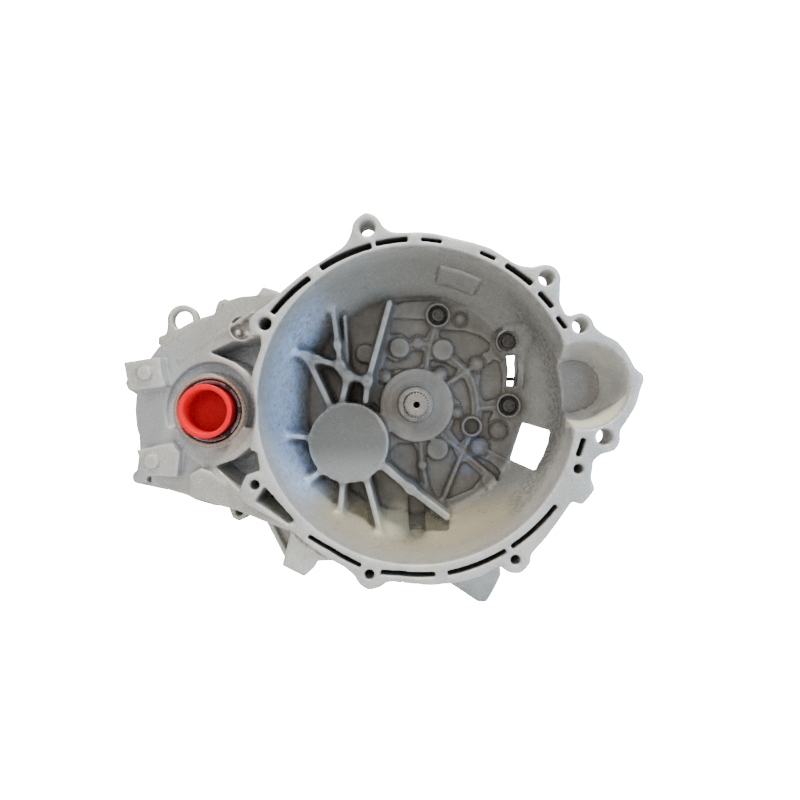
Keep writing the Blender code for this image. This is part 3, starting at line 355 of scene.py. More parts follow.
FLANGE_SLOTS = [
    ((-129, 85), (-99, 113), 5.8),
    ((-84.6, 125), (-44, 143), 6.2),
    ((-35, 146), (-11, 149.5), 5.4),
    ((5.4, 149.4), (20.7, 147.6), 3.8),
    ((58.5, 137.2), (69.3, 132.3), 4.0),
    ((82, 125), (101.7, 110.7), 5.4),
    ((111.6, 99.9), (120.6, 90.0), 5.2),
    ((127.4, 77.9), (133.2, 70.7), 4.4),
    ((149.8, -32.4), (145.8, -44.1), 5.0),
    ((124.2, -92.2), (86.9, -126.9), 4.5),
    ((78.3, -132.3), (29.7, -151.2), 4.5),
    ((14.4, -152.6), (-15.3, -151.8), 4.5),
    ((-18.5, -151.5), (-30.6, -150.8), 4.5),
    ((-52.2, -144.0), (-77.0, -130.4), 4.0),
    ((-80.0, -128.6), (-96.3, -119.2), 4.0),
]

EYE = (-257.0, 93.0)
RAILS = [(-60.0, 45.0), (-25.0, 60.0), (-95.0, 35.0)]
BELL_BOLTS = [(24.7, 94.0), (98.7, 66.3), (99.3, -1.4)]
OPEN_SOCKET = (60.4, -23.2)

BELL_OUTSIDE = [(149, 2), (152, 20), (149, 45), (137, 74), (125, 94), (120, JOINT)]
BELL_INSIDE = [
    (MOUTH_R, -4), (MOUTH_R, 18), (142.5, 32), (139.5, 46), (134.5, 60), (128, 74), (121, 86),
    (113, BELL_FLOOR),
]
# Mounting pads of the differential side, as outlines, and the round spots on them as (x, z): radius
PADS = [
    [(-277.5, 40.2), (-243.4, 45.4), (-240.6, 17.2), (-272.5, 13.6)],
    [(-265.3, -43.0), (-232.0, -36.4), (-224.4, -44.9), (-227.2, -68.7), (-257.7, -66.8)],
]
PAD_SPOTS = {(-256.7, 30.1): 6.6, (-250.1, -53.3): 7.0}
# Pockets around the differential's boss, each with its depth
SIDE_POCKETS = [
    ([(-194.0, 50.0), (-173.2, 58.4), (-142.0, 62.3), (-141.5, 52.2), (-150.5, 26.5), (-169.5, 40.3)], 56),
    ([(-188.5, -58.6), (-169.5, -52), (-154, -40.5), (-145, -43.2), (-142.5, -58.5), (-154.5, -62.5),
      (-159, -72), (-162.5, -80)], 56),
    ([(-137.5, -74.6), (-111.5, -104.0), (-116.0, -106.5), (-145.0, -86.5)], 50),
]
FORK_WINDOW = [(115.2, -19.4), (136.6, -26.6), (134.4, -38.0), (129.8, -51.0), (121.6, -67.2),
    (102.0, -59.0)]
CURVED_SLOT = [(98.7, 53.0), (109.0, 53.0), (111.0, 36), (109.0, 19.6), (98.7, 19.6), (100.5, 36)]

# Low work on the bell's floor: round bosses and domes as (x, z, radius, top), ribs as corner points
FLOOR_BOSSES = [
    (-15.9, 59.6, 10.6, 85.0), (29.8, 57.4, 11.2, 85.0), (24.3, -47.3, 11.4, 85.0),
    (-52.6, 54.1, 9.6, 89.5),
    (3.8, 64.8, 5.6, 87.0), (8.2, -64.5, 4.8, 87.0), (78.8, -80.3, 7.4, 88.0),
]
FLOOR_DOMES = [
    (-31.5, 29.6, 7.0, 84.5), (27.6, 32.2, 7.4, 84.0), (65.9, 42.9, 7.8, 84.0), (45.4, -8.8, 6.0, 86.0),
    (88.9, -27.7, 9.0, 85.0), (69.3, -45.1, 9.4, 84.0), (48.8, 90.8, 6.2, 87.0),
]
FLOOR_RIBS = [
    [(21.7, 80), (16.2, 62), (11.5, 32)],
    [(-9, 63), (15.4, 64.3)],
    [(36, 52), (55.7, 35.2), (34, 21)],
    [(55.7, 35.2), (65.9, 42.9)],
    [(55.7, 35.2), (61.5, 26), (65.6, 12), (67.3, -4), (65.7, -15)],
    [(67.3, -4.4), (86, -2.4)],
    [(60.2, -32), (51.2, -50.8)],
    [(27, -30), (51.2, -50.8), (78, -73)],
    [(51.2, -50.8), (27.7, -107.8)],
    [(79.2, -49.7), (100.5, -61.5)],
    [(6.0, -34), (8.3, -64.3), (16.5, -106)],
]
# The raised land of the floor, and the panels sunk in it
LAND = [
    (-46, 26), (-40, 44), (-30, 98), (-10, 106), (30, 108), (70, 92), (100, 62), (113, 20), (113, -30),
    (100, -70),
    (70, -98), (20, -112), (-4, -84), (-31, -62), (-27, -40), (-27, -14), (-40, 4),
]
PANELS = [
    [(-58.3, 94.5), (-39.3, 94), (-42.7, 76.2), (-59.5, 77.7)],
    [(-26, 91.5), (12.5, 90.4), (17.5, 82), (12, 70.5), (3, 74.5), (-6, 68.5), (-14, 75), (-27.5, 74)],
    [(-34, 34), (-30, 50), (-20, 45), (-8, 49), (-3, 57), (9.8, 57), (8.3, 44), (3, 38.4), (-16, 37.5),
        (-24, 36)],
    [(26.6, 79.5), (52.3, 78.3), (70.2, 73), (81, 64.5), (79.5, 57.5), (62.4, 48.5), (53.5, 43.5),
        (42.5, 54.2),
     (37, 68), (27, 71)],
    [(15, 46), (19.5, 47.5), (34, 44), (46, 37.5), (41, 29.5), (35.5, 27.5), (35, 36), (27, 41.5),
        (17, 38)],
    [(38, 18), (49, 27.8), (53, 27), (57.5, 17), (60.3, 2), (60, -11.5), (51.5, -10.5), (49.5, 1),
        (43.5, 6.5)],
    [(71.5, 37), (84, 47.5), (90.5, 45.5), (93.8, 30), (92.8, 8.5), (76, 3), (72.5, 6), (69.5, 20)],
    [(38, -27.4), (44, -15), (49.5, -17), (50, -30.7), (54.2, -35.5), (49, -40.9)],
    [(27, -102), (45.6, -57.4), (40, -45), (30, -42), (13, -48), (12.2, -60), (14, -74), (21, -102)],
    [(12, -100), (-27, -70), (-27, -50), (-18, -41.5), (-2, -41.5), (3.2, -50), (3.4, -62), (5, -76)],
    [(49.5, -63), (55, -61.5), (72.0, -77.0), (61.4, -90.1), (34.5, -101.4)],
    [(60, -56), (70, -57), (82, -62), (92, -72), (88, -82), (80, -72), (64, -57)],
    [(73, -8), (84, -7.5), (79, -18), (82, -36), (76, -40), (66, -34), (71.5, -22)],
]

TALL_RIBS = [
    ([(-50.2, 4.0), (-47.7, 24.1), (-26.0, 104.0)], 5.4, 60.0, 66.0),
    ([(-74.8, 32.0), (-78.5, 60.0), (-84.2, 98.0)], 4.6, 60.0, 68.0),
    ([(-122.0, 53.5), (-100.0, 46.0), (-75.2, 38.6), (-66.8, 28.8), (-47.7, 23.7)], 5.0, 60.0, 60.5),
    ([(-68.5, 28.0), (-74.8, 0.0)], 5.4, 60.0, 60.0),
    ([(-110.5, 50.0), (-84.8, -4.0)], 5.2, 60.0, 60.0),
    ([(-100.0, -34.8), (-134.0, -30.0)], 4.8, 59.5, 59.5),
    ([(-92.0, -65.5), (-114.0, -81.0)], 4.8, 59.5, 59.5),
    ([(-73.0, -76.0), (-76.3, -116.0)], 5.2, 59.5, 59.5),
    ([(-50.0, -74.0), (-35.5, -128.0)], 5.4, 59.5, 59.5),
    ([(-33.0, -62.0), (-5.0, -85.2), (32.0, -113.5)], 7.0, 60.0, 60.5),
]


def block(a, b, width):
    """A pocket's outline, bowed around the input shaft between two ends, with room to round its corners."""
    half = width / 2 - 0.9
    r0, r1 = math.hypot(*a), math.hypot(*b)
    start = math.atan2(a[1], a[0])
    turn = math.remainder(math.atan2(b[1], b[0]) - start, 2 * math.pi)
    more = math.copysign(half / r0, turn)
    sides = [[], []]
    for i in range(7):
        t = i / 6
        angle, r = start - more + (turn + 2 * more) * t, r0 + (r1 - r0) * t
        for side, reach in zip(sides, (r - half, r + half)):
            side.append((reach * math.cos(angle), reach * math.sin(angle)))
    return sides[0] + sides[1][::-1]


def slot_shapes():
    return [prism(block(a, b, width), -4, 16.5, 0.9) for a, b, width in FLANGE_SLOTS]


def round_cut(casting, centre, r, y0, y1, lip=0.0):
    """A drilled hole along Y, with a small chamfer at its mouth."""
    casting.cut(rod(centre, r, y0, y1), 0.3)
    if lip:
        casting.cut(turned([(0, y0), (r + lip + 1, y0 - 1), (r, y0 + lip + 1),
            (0, y0 + lip + 1)], centre), 0.3)


def polyline(casting, points, width, y0, y1, draft=0.06, end_y0=None, fillet=3.0):
    for i, (a, b) in enumerate(zip(points, points[1:])):
        last = i == len(points) - 2
        casting.add(bar(a, b, width, y0, y1, draft, end_y0 if last else None), fillet)


def clutch_housing():
    casting = Casting("clutch_housing")
    mouth = turned([(0, -4)] + BELL_INSIDE + [(0, BELL_FLOOR)], INPUT)

    # Bell wall and flange, exactly round, then the mouth through both
    wall = BELL_OUTSIDE + [(108, JOINT), (108, BELL_FLOOR)] + BELL_INSIDE[::-1][1:-1] + [(MOUTH_R, 2)]
    casting.add(turned(wall, INPUT), 1.0)
    casting.add(prism(smooth_curve(FLANGE), 0, FLANGE_BACK), 2.5)
    for place, (_, boss, length) in THROUGH_LUGS.items():
        casting.add(rod(place, boss, 0, length), 4.0)
    for place in TAPPED_LUGS:
        casting.add(rod(place, 10.5, 0, 30), 4.0)
    casting.cut(mouth, 1.0)

    # Webs and fillets at the lower left foot
    casting.add(prism([(-98, -108), (-93, -141), (-76, -140.5), (-64, -147), (-57, -138),
        (-57, -128)], 6, 28), 3.0,
                within=outside_of(turned([(0, -4), (150, -4), (150, 50), (0, 50)], INPUT)))
    casting.add(prism([(-141, -102), (-119, -148), (-111, -140), (-107, -104)], 36, 50), 2.0)

    # Starter pocket, open to the bell
    casting.add(turned([(0, 3), (47, 3), (46, 26), (36, 45),
        (0, 45)], STARTER), 4.0, within=outside_of(mouth))
    casting.cut(starter_hollow(), 0.7)
    casting.cut(prism([(120, -4), (150, -9), (150, 42), (118, 43)], -4, 33.5), 4.0)

    # Disc around the shaft, the output shaft's boss and the low work on the floor
    wall_side = ((0, 20), (BELL_INSIDE[1][0] - 0.5, 20), *[(r + 3, y) for r, y in BELL_INSIDE[2:]],
        (0, 104))
    inside = turned(wall_side, INPUT)
    casting.add(prism(LAND, 90.5, 100, 3.0), 3.0, within=inside)
    for points in PANELS:
        casting.cut(prism(points, 60, 96.5), 1.6)
    for x, z, r, top in FLOOR_DOMES:
        casting.cut(rod((x, z), r + 2.6, 60, 93.5), 2.5)
        casting.add(rod((x, z), r - 0.4, top + 4, 100, 0.06), 1.6)
        casting.add(ball((x, top + r * 0.95, z), r * 0.95), 2.5)
    for points in FLOOR_RIBS:
        polyline(casting, points, 3.5, 88.3, 100, 0.07, fillet=2.0)
    for x, z, r, top in FLOOR_BOSSES:
        casting.add(rod((x, z), r, top, 100, 0.08), 2.0)
    casting.add(rod((2.4, -1.0), 38.6, 84.3, 100, 0.05), 1.6)
    for place in BELL_BOLTS:
        casting.add(rod(place, 12.9, 84, 101.5, 0.06), 3.0)
    casting.add(rod(OPEN_SOCKET, 11.0, 84, 101.5, 0.05), 2.0)
    # Groove that drains the bell at the bottom
    grooved = turned([(0, 30), (145, 30), (144, 48), (137, 66), (127, 84), (117, 97), (113, 99),
        (0, 99)], INPUT)
    casting.cut(bar((2.8, -96), (2.8, -126), 17.6, 30, 99), 1.0, within=grooved)
    # Faint raised pad on the upper wall
    sector = prism([(17.4, 98.5), (26.0, 147.7), (69.7, 132.8), (46.5, 88.5)], 40, 80)
    casting.add(turned([(137.2, 47), (131.9, 60.5), (125.5, 74), (135, 74),
        (146, 47)], INPUT), 0.5, within=sector)
    for points, width, top, end_top in TALL_RIBS:
        polyline(casting, points, width, top, 100.4, 0.05, end_top, 7.0)
    casting.add(rod(OUTPUT, OUTPUT_BOSS_R, 58, 101, 0.02), 5.0)
    casting.cut(turned([(20.6, 57), (21.6, 57), (21.6, 58.35), (20.6, 58.35)], OUTPUT), 0.3)
    casting.add(bar((-70, 36), (-73.5, 92), 3.6, 80, 98, 0.1), 3.0)

    # Seats that the bearings, bolts and shafts stand in
    shallow = turned([(0, 40), (143, 40), (138, 60), (130.5, 76), (121, 92.4), (0, 92.4)], INPUT)
    casting.cut(rod((101.5, 66.0), 18.5, 50, 92.4), 3.0, within=shallow)
    casting.add(rod(BELL_BOLTS[1], 12.9, 86, 101.5, 0.06), 2.0)
    casting.cut(bar((104.5, 52), (105.5, 24), 24.0, 60, 92.4), 3.0, within=shallow)
    for place in BELL_BOLTS:
        casting.cut(rod(place, 10.6, 60, 91.6), 0.8)
        casting.cut(rod(place, 4.8, 90, JOINT + 4), 0.3)
    casting.cut(rod(OPEN_SOCKET, 8.2, 70, 99), 0.8)
    casting.cut(rod(DIFF, 36.0, 2, 26.8), 1.0)
    casting.cut(rod(DIFF, SEAL_R, 2, 90), 0.5)
    casting.cut(rod(DIFF, 45, 70, 91), 0.4)
    casting.cut(rod(INPUT, 16.5, 80, 120), 0.4)
    casting.cut(rod(OUTPUT, 31, 66, 120), 0.4)
    casting.cut(rod(INPUT, 30, 93, 121), 0.4)

    # Window for the release fork, curved slot, pockets beside the differential boss
    casting.cut(prism(FORK_WINDOW, 40, JOINT + 6), 0.8)
    casting.cut(prism(CURVED_SLOT, 70, 122), 1.5)
    for outline, depth in SIDE_POCKETS:
        casting.cut(prism(outline, -4, depth, 0.8), 1.5)
    recess = [(10.8, 17.2), (12.6, 17.2), (12.6, 60), (0, 60), (0, 25.5), (10.8, 25.5)]
    casting.add(turned(recess, (-163.1, 71.5)), 1.0)
    for x, z in ((-166.3, 67.5), (-157.6, 66.9), (-164.3, 77.9)):
        casting.add(rod((x, z), 2.8, 16.8, 28), 1.0)
    casting.cut(turned([(33.6, 0), (52, 0), (46.5, 14), (43.0, 22), (34.6, 30.0)], DIFF), 2.0)
    casting.cut(turned([(35.2, 20), (41, 20), (41, 60), (37.4, 60)], DIFF), 1.0, within=before_plate(1.0))
    crescent = turned([(35.6, 5), (46.8, 5), (46.5, 46), (37.0, 46)], DIFF)
    keep = prism([(-262, -22), (-152, -22), (-132, -152), (-282, -152)], -4, 60)
    casting.cut(crescent, 2.0, within=outside_of(keep))
    # Fine ridges across the sloping face
    for a, b, first, last in (((-152, 84.7), (-230, 43), 10.4, 36.6), ((-225.5, -43.6),
        (-203, -59), 35.2, 27.6)):
        casting.add(bar(a, b, 2.4, first, 60, 0.0, last), 1.5)
    for place, r in PAD_SPOTS.items():
        casting.add(rod(place, r, 22.5, 40, 0.03), 0.8)

    # Flange pockets and holes
    for slot in slot_shapes():
        casting.cut(slot, 0.5)
    for place, (hole, _, length) in THROUGH_LUGS.items():
        round_cut(casting, place, hole, -2, length + 8, 1.6)
    for place in TAPPED_LUGS:
        round_cut(casting, place, 4.5, -2, 24, 1.0)
    casting.soften(1)
    for place in RAILS:
        casting.cut(rod(place, 6.2, 103.6, 121), 0.2)
    # The mounting pads keep their crisp machined edges
    for outline in PADS:
        casting.add(prism(outline, 26.6, 50), 0.4)
    for place, r in PAD_SPOTS.items():
        casting.add(rod(place, r, 23.0, 40, 0.03), 0.4)
    return casting


def starter_hollow():
    """The pocket for the starter: a round floor, a sloping face around it and a steep wall low down."""
    cx, cz = STARTER

    def distance(x, y, z):
        r = np.hypot(x - cx, z - cz)
        turn = np.degrees(np.arctan2(z - cz, x - cx))
        low = np.clip((4.0 - turn) / 60.0, 0.0, 1.0) * np.clip((turn + 178.0) / 40.0, 0.0, 1.0)
        low = low * low * (3 - 2 * low)
        crease, deep = 39.4 - 7.2 * low, 3.0 + 23.0 * low
        wall = deep * np.clip((40.0 - r) / (40.0 - crease), 0.0, 1.0)
        slope = deep + (32.5 - deep) * np.clip((crease - r) / (crease - 24.6), 0.0, 1.0)
        floor = np.where(r > crease, wall, np.where(r > 24.2, slope, 35.5))
        steep = np.where(r > crease, 0.36, np.where(r > 24.2, 0.5, 0.9))
        return np.maximum((y - floor) * steep, r - 40.0 + 0 * y)

    return distance, (cx - 40, -6, cz - 40), (cx + 40, 36, cz + 40)


def before_plate(depth):
    """The space in front of the differential side's sloping face, to that depth in it."""

    def distance(x, y, z):
        return y - 8 - np.maximum(0.0, -140.0 - x) * 0.336 - depth + 0 * z

    return distance, (-300, -10, -120), (-100, 120, 120)


def outside_of(shape):
    """The space outside a shape, for use as a limit."""
    distance, low, high = shape

    def flipped(x, y, z):
        return -distance(x, y, z)

    return flipped, low, high


# ---------------------------------------------------------------- transmission case and rear cover

CASE_BOLTS = [axis_of(f"case_bolt_{i}") for i in range(1, 7)]
COVER_BOLTS = [axis_of(f"cover_bolt_{i}") for i in range(1, 6)]


def transmission_case():
    casting = Casting("transmission_case")
    # The differential dome, made exactly round, with its ribs' roots filleted
    dome = [(99, 117), (102.5, 117), (102.5, 131), (90, 146), (68, 158), (64, 184), (44, 198),
        (41, 212), (34, 212),
            (34, 196), (60, 182), (64, 154), (87, 142), (99, 130)]
    casting.add(turned(dome, DIFF), 2.0)
    for place in CASE_BOLTS:
        casting.add(rod(place, 9.6, 117, 127.6), 3.0)
    casting.add(upright((-58, 196), 25.2, 70, 96), 5.0)
    casting.add(upright((-22, 246), 13.2, 55, 90), 4.0)
    for x, y, top in ((4, 140, 92), (22, 184, 86), (4, 226, 90)):
        casting.add(upright((x, y), 11.8, 58, top), 4.0)
    casting.cut(rod(DIFF, SEAL_R, 176, 216), 0.6)
    casting.cut(upright((-58, 196), 14.3, 60, 100), 0.5)
    casting.cut(rod(EYE, 10.6, 100, 140), 1.2)
    for place in CASE_BOLTS + BELL_BOLTS:
        casting.cut(rod(place, 4.6, 100, 140), 0.3)
    casting.soften(2)
    for place in RAILS:
        casting.cut(rod(place, 6.2, 262, 287.4), 0.2)
    return casting


def rear_cover():
    casting = Casting("rear_cover")
    for place in COVER_BOLTS:
        casting.add(rod(place, 8.8, 300, 308.4), 2.5)
        casting.cut(rod(place, 3.7, 285, 340), 0.3)
    casting.soften(2)
    return casting


# ---------------------------------------------------------------- turned metal, rubber and plastic


def eased(profile, size=0.35):
    """A (radius, along) profile with its corners cut back, so that every edge catches the light."""
    rows = []
    for i, point in enumerate(profile):
        p = Vector(point)
        before, after = Vector(profile[i - 1]), Vector(profile[(i + 1) % len(profile)])
        if p.x < 1e-6:
            rows.append(tuple(p))
            continue
        for other in (before, after):
            step = other - p
            rows.append(tuple(p + step * min(size / max(step.length, 1e-6), 0.4)))
    return rows


def lathe(name, profile, centre, axis="Y", count=96, size=0.35):
    """A closed solid of revolution. The profile is (radius, along the axis), centre the other ordinates."""
    rows = eased(profile, size)
    bm = bmesh.new()
    rings = []
    for r, along in rows:
        if r < 1e-6:
            rings.append([bm.verts.new(spot(centre, axis, 0, 0, along))])
            continue
        turns = [2 * math.pi * i / count for i in range(count)]
        rings.append([bm.verts.new(spot(centre,
            axis, r * math.cos(a), r * math.sin(a), along)) for a in turns])
    closed = len(rings[0]) > 1
    pairs = list(zip(rings, rings[1:])) + ([(rings[-1], rings[0])] if closed else [])
    for a, b in pairs:
        for i in range(count):
            j = (i + 1) % count
            ring = [a[i % len(a)], a[j % len(a)], b[j % len(b)], b[i % len(b)]]
            ring = list(dict.fromkeys(ring))
            if len(ring) > 2:
                bm.faces.new(ring)
    return made_from(bm, name)


def spot(centre, axis, u, v, along):
    """A design point at (u, v) off an axis, in metres in the row frame."""
    p, q = centre
    point = {"X": (along, p + u, q + v), "Y": (p + u, along, q + v), "Z": (p + u, q + v, along)}[axis]
    return PLACE + Vector(point) * MM


def made_from(bm, name, sharp=28):
    bmesh.ops.recalc_face_normals(bm, faces=bm.faces)
    mesh = bpy.data.meshes.new(name)
    bm.to_mesh(mesh)
    bm.free()
    mesh.shade_smooth()
    mesh.set_sharp_from_angle(angle=math.radians(sharp))
    made = bpy.data.objects.new(name, mesh)
    bpy.context.scene.collection.objects.link(made)
    return made


def stacked(name, sections, axis="Y", centre=(0.0, 0.0)):
    """A solid through closed outlines, each given as (along, points), with flat ends."""
    bm = bmesh.new()
    rings = [[bm.verts.new(spot(centre,
        axis, u, v, along)) for u, v in points] for along, points in sections]
    for a, b in zip(rings, rings[1:]):
        for i in range(len(a)):
            j = (i + 1) % len(a)
            bm.faces.new((a[i], a[j], b[j], b[i]))
    bm.faces.new(rings[0])
    bm.faces.new(rings[-1][::-1])
    return made_from(bm, name)


def toothed(teeth, root, tip, share=0.5):
    """The outline of a splined round."""
    points = []
    for i in range(teeth):
        flank, crest = share * 0.62, share * 0.42
        for r, s in ((root, -0.5), (root, -flank), (tip, -crest), (tip, crest), (root, flank)):
            a = (i + s) * 2 * math.pi / teeth
            points.append((r * math.cos(a), r * math.sin(a)))
    return points


def polygon(sides, across, start=0.0):
    r = across / 2 / math.cos(math.pi / sides)
    return [(r * math.cos(start + 2 * math.pi * i / sides), r * math.sin(start + 2 * math.pi * i / sides))
            for i in range(sides)]


def merged(name, *objects):
    """Several meshes as one piece."""
    bm = bmesh.new()
    for o in objects:
        bm.from_mesh(o.data)
        bpy.data.objects.remove(o)
    return made_from(bm, name)


# ---------------------------------------------------------------- materials


class Field:
    """A value that varies over a surface, from a node. Arithmetic on it adds the nodes that it needs."""

    def __init__(self, look, socket):
        self.look, self.socket = look, socket

    def __add__(self, other):
        return self.look.math("ADD", self, other)

    def __sub__(self, other):
        return self.look.math("SUBTRACT", self, other)

    def __rsub__(self, other):
        return self.look.math("SUBTRACT", other, self)

    def __mul__(self, other):
        return self.look.math("MULTIPLY", self, other)

    def __truediv__(self, other):
        return self.look.math("DIVIDE", self, other)

    __radd__, __rmul__ = __add__, __mul__


class Look:
    """A node material with short helpers. Points are in design millimetres."""

    def __init__(self, name):
        self.material = bpy.data.materials.new(name)
        self.material.use_nodes = True
        self.nodes, self.links = self.material.node_tree.nodes, self.material.node_tree.links
        self.shader = self.nodes["Principled BSDF"]
        place = self.nodes.new("ShaderNodeTexCoord").outputs["Object"]
        off = self.vector("SUBTRACT", place, tuple(PLACE))
        self.point = self.vector("SCALE", off, None, 1 / MM)
        parts = self.nodes.new("ShaderNodeSeparateXYZ")
        self.put(parts.inputs[0], self.point)
        self.x, self.y, self.z = (Field(self, out) for out in parts.outputs)
        self.color = None

    def put(self, socket, value):
        value = getattr(value, "socket", value)
        if isinstance(value, bpy.types.NodeSocket):
            self.links.new(value, socket)
        else:
            socket.default_value = value

    def vector(self, operation, a, b=None, scale=None):
        node = self.nodes.new("ShaderNodeVectorMath")
        node.operation = operation
        self.put(node.inputs[0], a)
        if b is not None:
            self.put(node.inputs[1], b)
        if scale is not None:
            self.put(node.inputs["Scale"], scale)
        return Field(self, node.outputs["Value" if operation in ("LENGTH", "DISTANCE") else "Vector"])

    def math(self, operation, a, b=0.0, c=0.0):
        node = self.nodes.new("ShaderNodeMath")
        node.operation = operation
        for socket, value in zip(node.inputs, (a, b, c)):
            self.put(socket, value)
        return Field(self, node.outputs[0])

    def ramp(self, value, low, high, out_low=0.0, out_high=1.0):
        """A smooth step of the value from low to high."""
        node = self.nodes.new("ShaderNodeMapRange")
        node.interpolation_type = "SMOOTHSTEP"
        for socket, given in zip(node.inputs, (value, low, high, out_low, out_high)):
            self.put(socket, given)
        return Field(self, node.outputs[0])

    def noise(self, size, detail=3.0, rough=0.6, seed=0.0):
        """Noise whose features are about size millimetres, from 0 to 1."""
        node = self.nodes.new("ShaderNodeTexNoise")
        self.put(node.inputs["Vector"], self.vector("ADD", self.point,
            (seed * 97.0, seed * 31.0, seed * 53.0)))
        for socket, value in (("Scale", 1 / size), ("Detail", detail), ("Roughness", rough)):
            node.inputs[socket].default_value = value
        return Field(self, node.outputs["Fac"])

    def cells(self, size):
        """A random value for each cell of about size millimetres."""
        node = self.nodes.new("ShaderNodeTexVoronoi")
        self.put(node.inputs["Vector"], self.point)
        node.inputs["Scale"].default_value = 1 / size
        parts = self.nodes.new("ShaderNodeSeparateColor")
        self.links.new(node.outputs["Color"], parts.inputs[0])
        return Field(self, parts.outputs[0])

    def flat(self):
        """The point moved onto the engine face's plane."""
        return self.vector("MULTIPLY", self.point, (1.0, 0.0, 1.0))

    def attribute(self, name):
        node = self.nodes.new("ShaderNodeAttribute")
        node.attribute_name = name
        return Field(self, node.outputs["Fac"])

    def mix(self, factor, a, b):
        node = self.nodes.new("ShaderNodeMix")
        node.data_type = "RGBA"
        self.put(node.inputs[0], factor)
        for socket, value in zip((node.inputs[6], node.inputs[7]), (a, b)):
            self.put(socket, (*value, 1.0) if isinstance(value, tuple) else value)
        return Field(self, node.outputs[2])

    def tint(self, mask, color):
        """Lays a colour over what is there, as far as the mask says."""
        self.color = self.mix(mask, self.color, color)

    def bump(self, height, depth, strength=1.0):
        """Relief of up to depth millimetres."""
        node = self.nodes.new("ShaderNodeBump")
        node.inputs["Strength"].default_value = strength
        node.inputs["Distance"].default_value = depth * MM
        self.put(node.inputs["Height"], height)
        before = self.shader.inputs["Normal"]
        if before.links:
            self.links.new(before.links[0].from_socket, node.inputs["Normal"])
        self.links.new(node.outputs[0], before)

    def finish(self, roughness, metallic, specular=0.5):
        for name, value in (("Base Color", self.color), ("Roughness", roughness), ("Metallic", metallic),
                            ("Specular IOR Level", specular)):
            self.put(self.shader.inputs[name], value)
        return self.material


def bell_masks(look):
    """Where each region of the clutch housing is, as masks from 0 to 1."""
    ramp, x, y, z = look.ramp, look.x, look.y, look.z
    m = SimpleNamespace()
    m.across = look.math("SQRT", x * x + z * z)
    # The surfaces that face the bell's inside, by how far they stand out from its wall
    back = look.math("MAXIMUM", y - 18.0, 0.0) / 75.0
    wall_r = 144.5 - back * back * 32.0 + ramp(y, 70.0, 92.0, 0.0, 2.6)
    inner = ramp(m.across - wall_r, 6.2, 7.8, 1.0, 0.0) * ramp(y, 100.5, 103.5, 1.0, 0.0)
    m.within = inner * ramp(m.across, 139.5, 146.5, 1.0, 0.0)
    m.deep = m.within * ramp(y, 1.0, 7.0)
    m.low = m.deep * ramp(z, -78.0, -112.0)
    m.tops = ramp(m.across, 112.0, 126.0, 1.0, 0.0) * ramp(y, 40.0, 52.0) * inner
    m.floor = ramp(m.across, 117.0, 112.0) * ramp(y, 78.0, 86.0) * inner
    m.sunk = m.within * ramp(y, 91.5, 95.0)
    m.disc = ramp(m.across, 41.5, 40.5) * ramp(y, 88.5, 87.0)
    # The starter pocket, its low wall where light is painted on, and the groove that drains the bell, where
    # shade is painted
    away = look.vector("DISTANCE", look.flat(), (STARTER[0], 0.0, STARTER[1]))
    m.pocket = ramp(away, 39.5, 41.5, 1.0, 0.0) * ramp(y, 1.0, 6.0) * ramp(m.across, 139.8, 141.6)
    m.pocket = m.pocket * ramp(y, 41.0, 38.5)
    turn = look.math("ARCTAN2", z - STARTER[1], x - STARTER[0])
    crease = ramp(turn, math.radians(4), math.radians(-56), 39.6, 32.4)
    m.lit = m.pocket * ramp(away - crease, -0.3, 0.9) * ramp(z, 14.0, 6.0) * ramp(y, 27.0, 25.5)
    m.groove = ramp(look.math("ABSOLUTE",
        x - 2.8), 8.9, 8.1) * ramp(z, -96.0, -101.0) * ramp(z, -131.0, -129.5)
    m.groove = m.groove * m.deep
    # The seal's cone and bore, the differential side, its cavities, and the flange beside the starter
    seat = look.vector("DISTANCE", look.flat(), (DIFF[0], 0.0, DIFF[1]))
    m.cone = ramp(seat, 48.0, 45.5) * ramp(x, -140.0, -146.0)
    m.seal_rim = ramp(seat, 34.6, 36.0, 1.0, 0.0) * ramp(y, 34.0, 29.0)
    m.side = ramp(x, -141.0, -146.0) * ramp(m.across, 147.0, 151.0)
    m.cavity = m.side * ramp(y,
        24.0, 46.0) * ramp(y, 66.0, 64.0) * ramp(look.math("ABSOLUTE", z), 80.0, 76.0)
    m.right = ramp(x, 100.0, 150.0) * ramp(y, 3.0, 0.8)
    return m


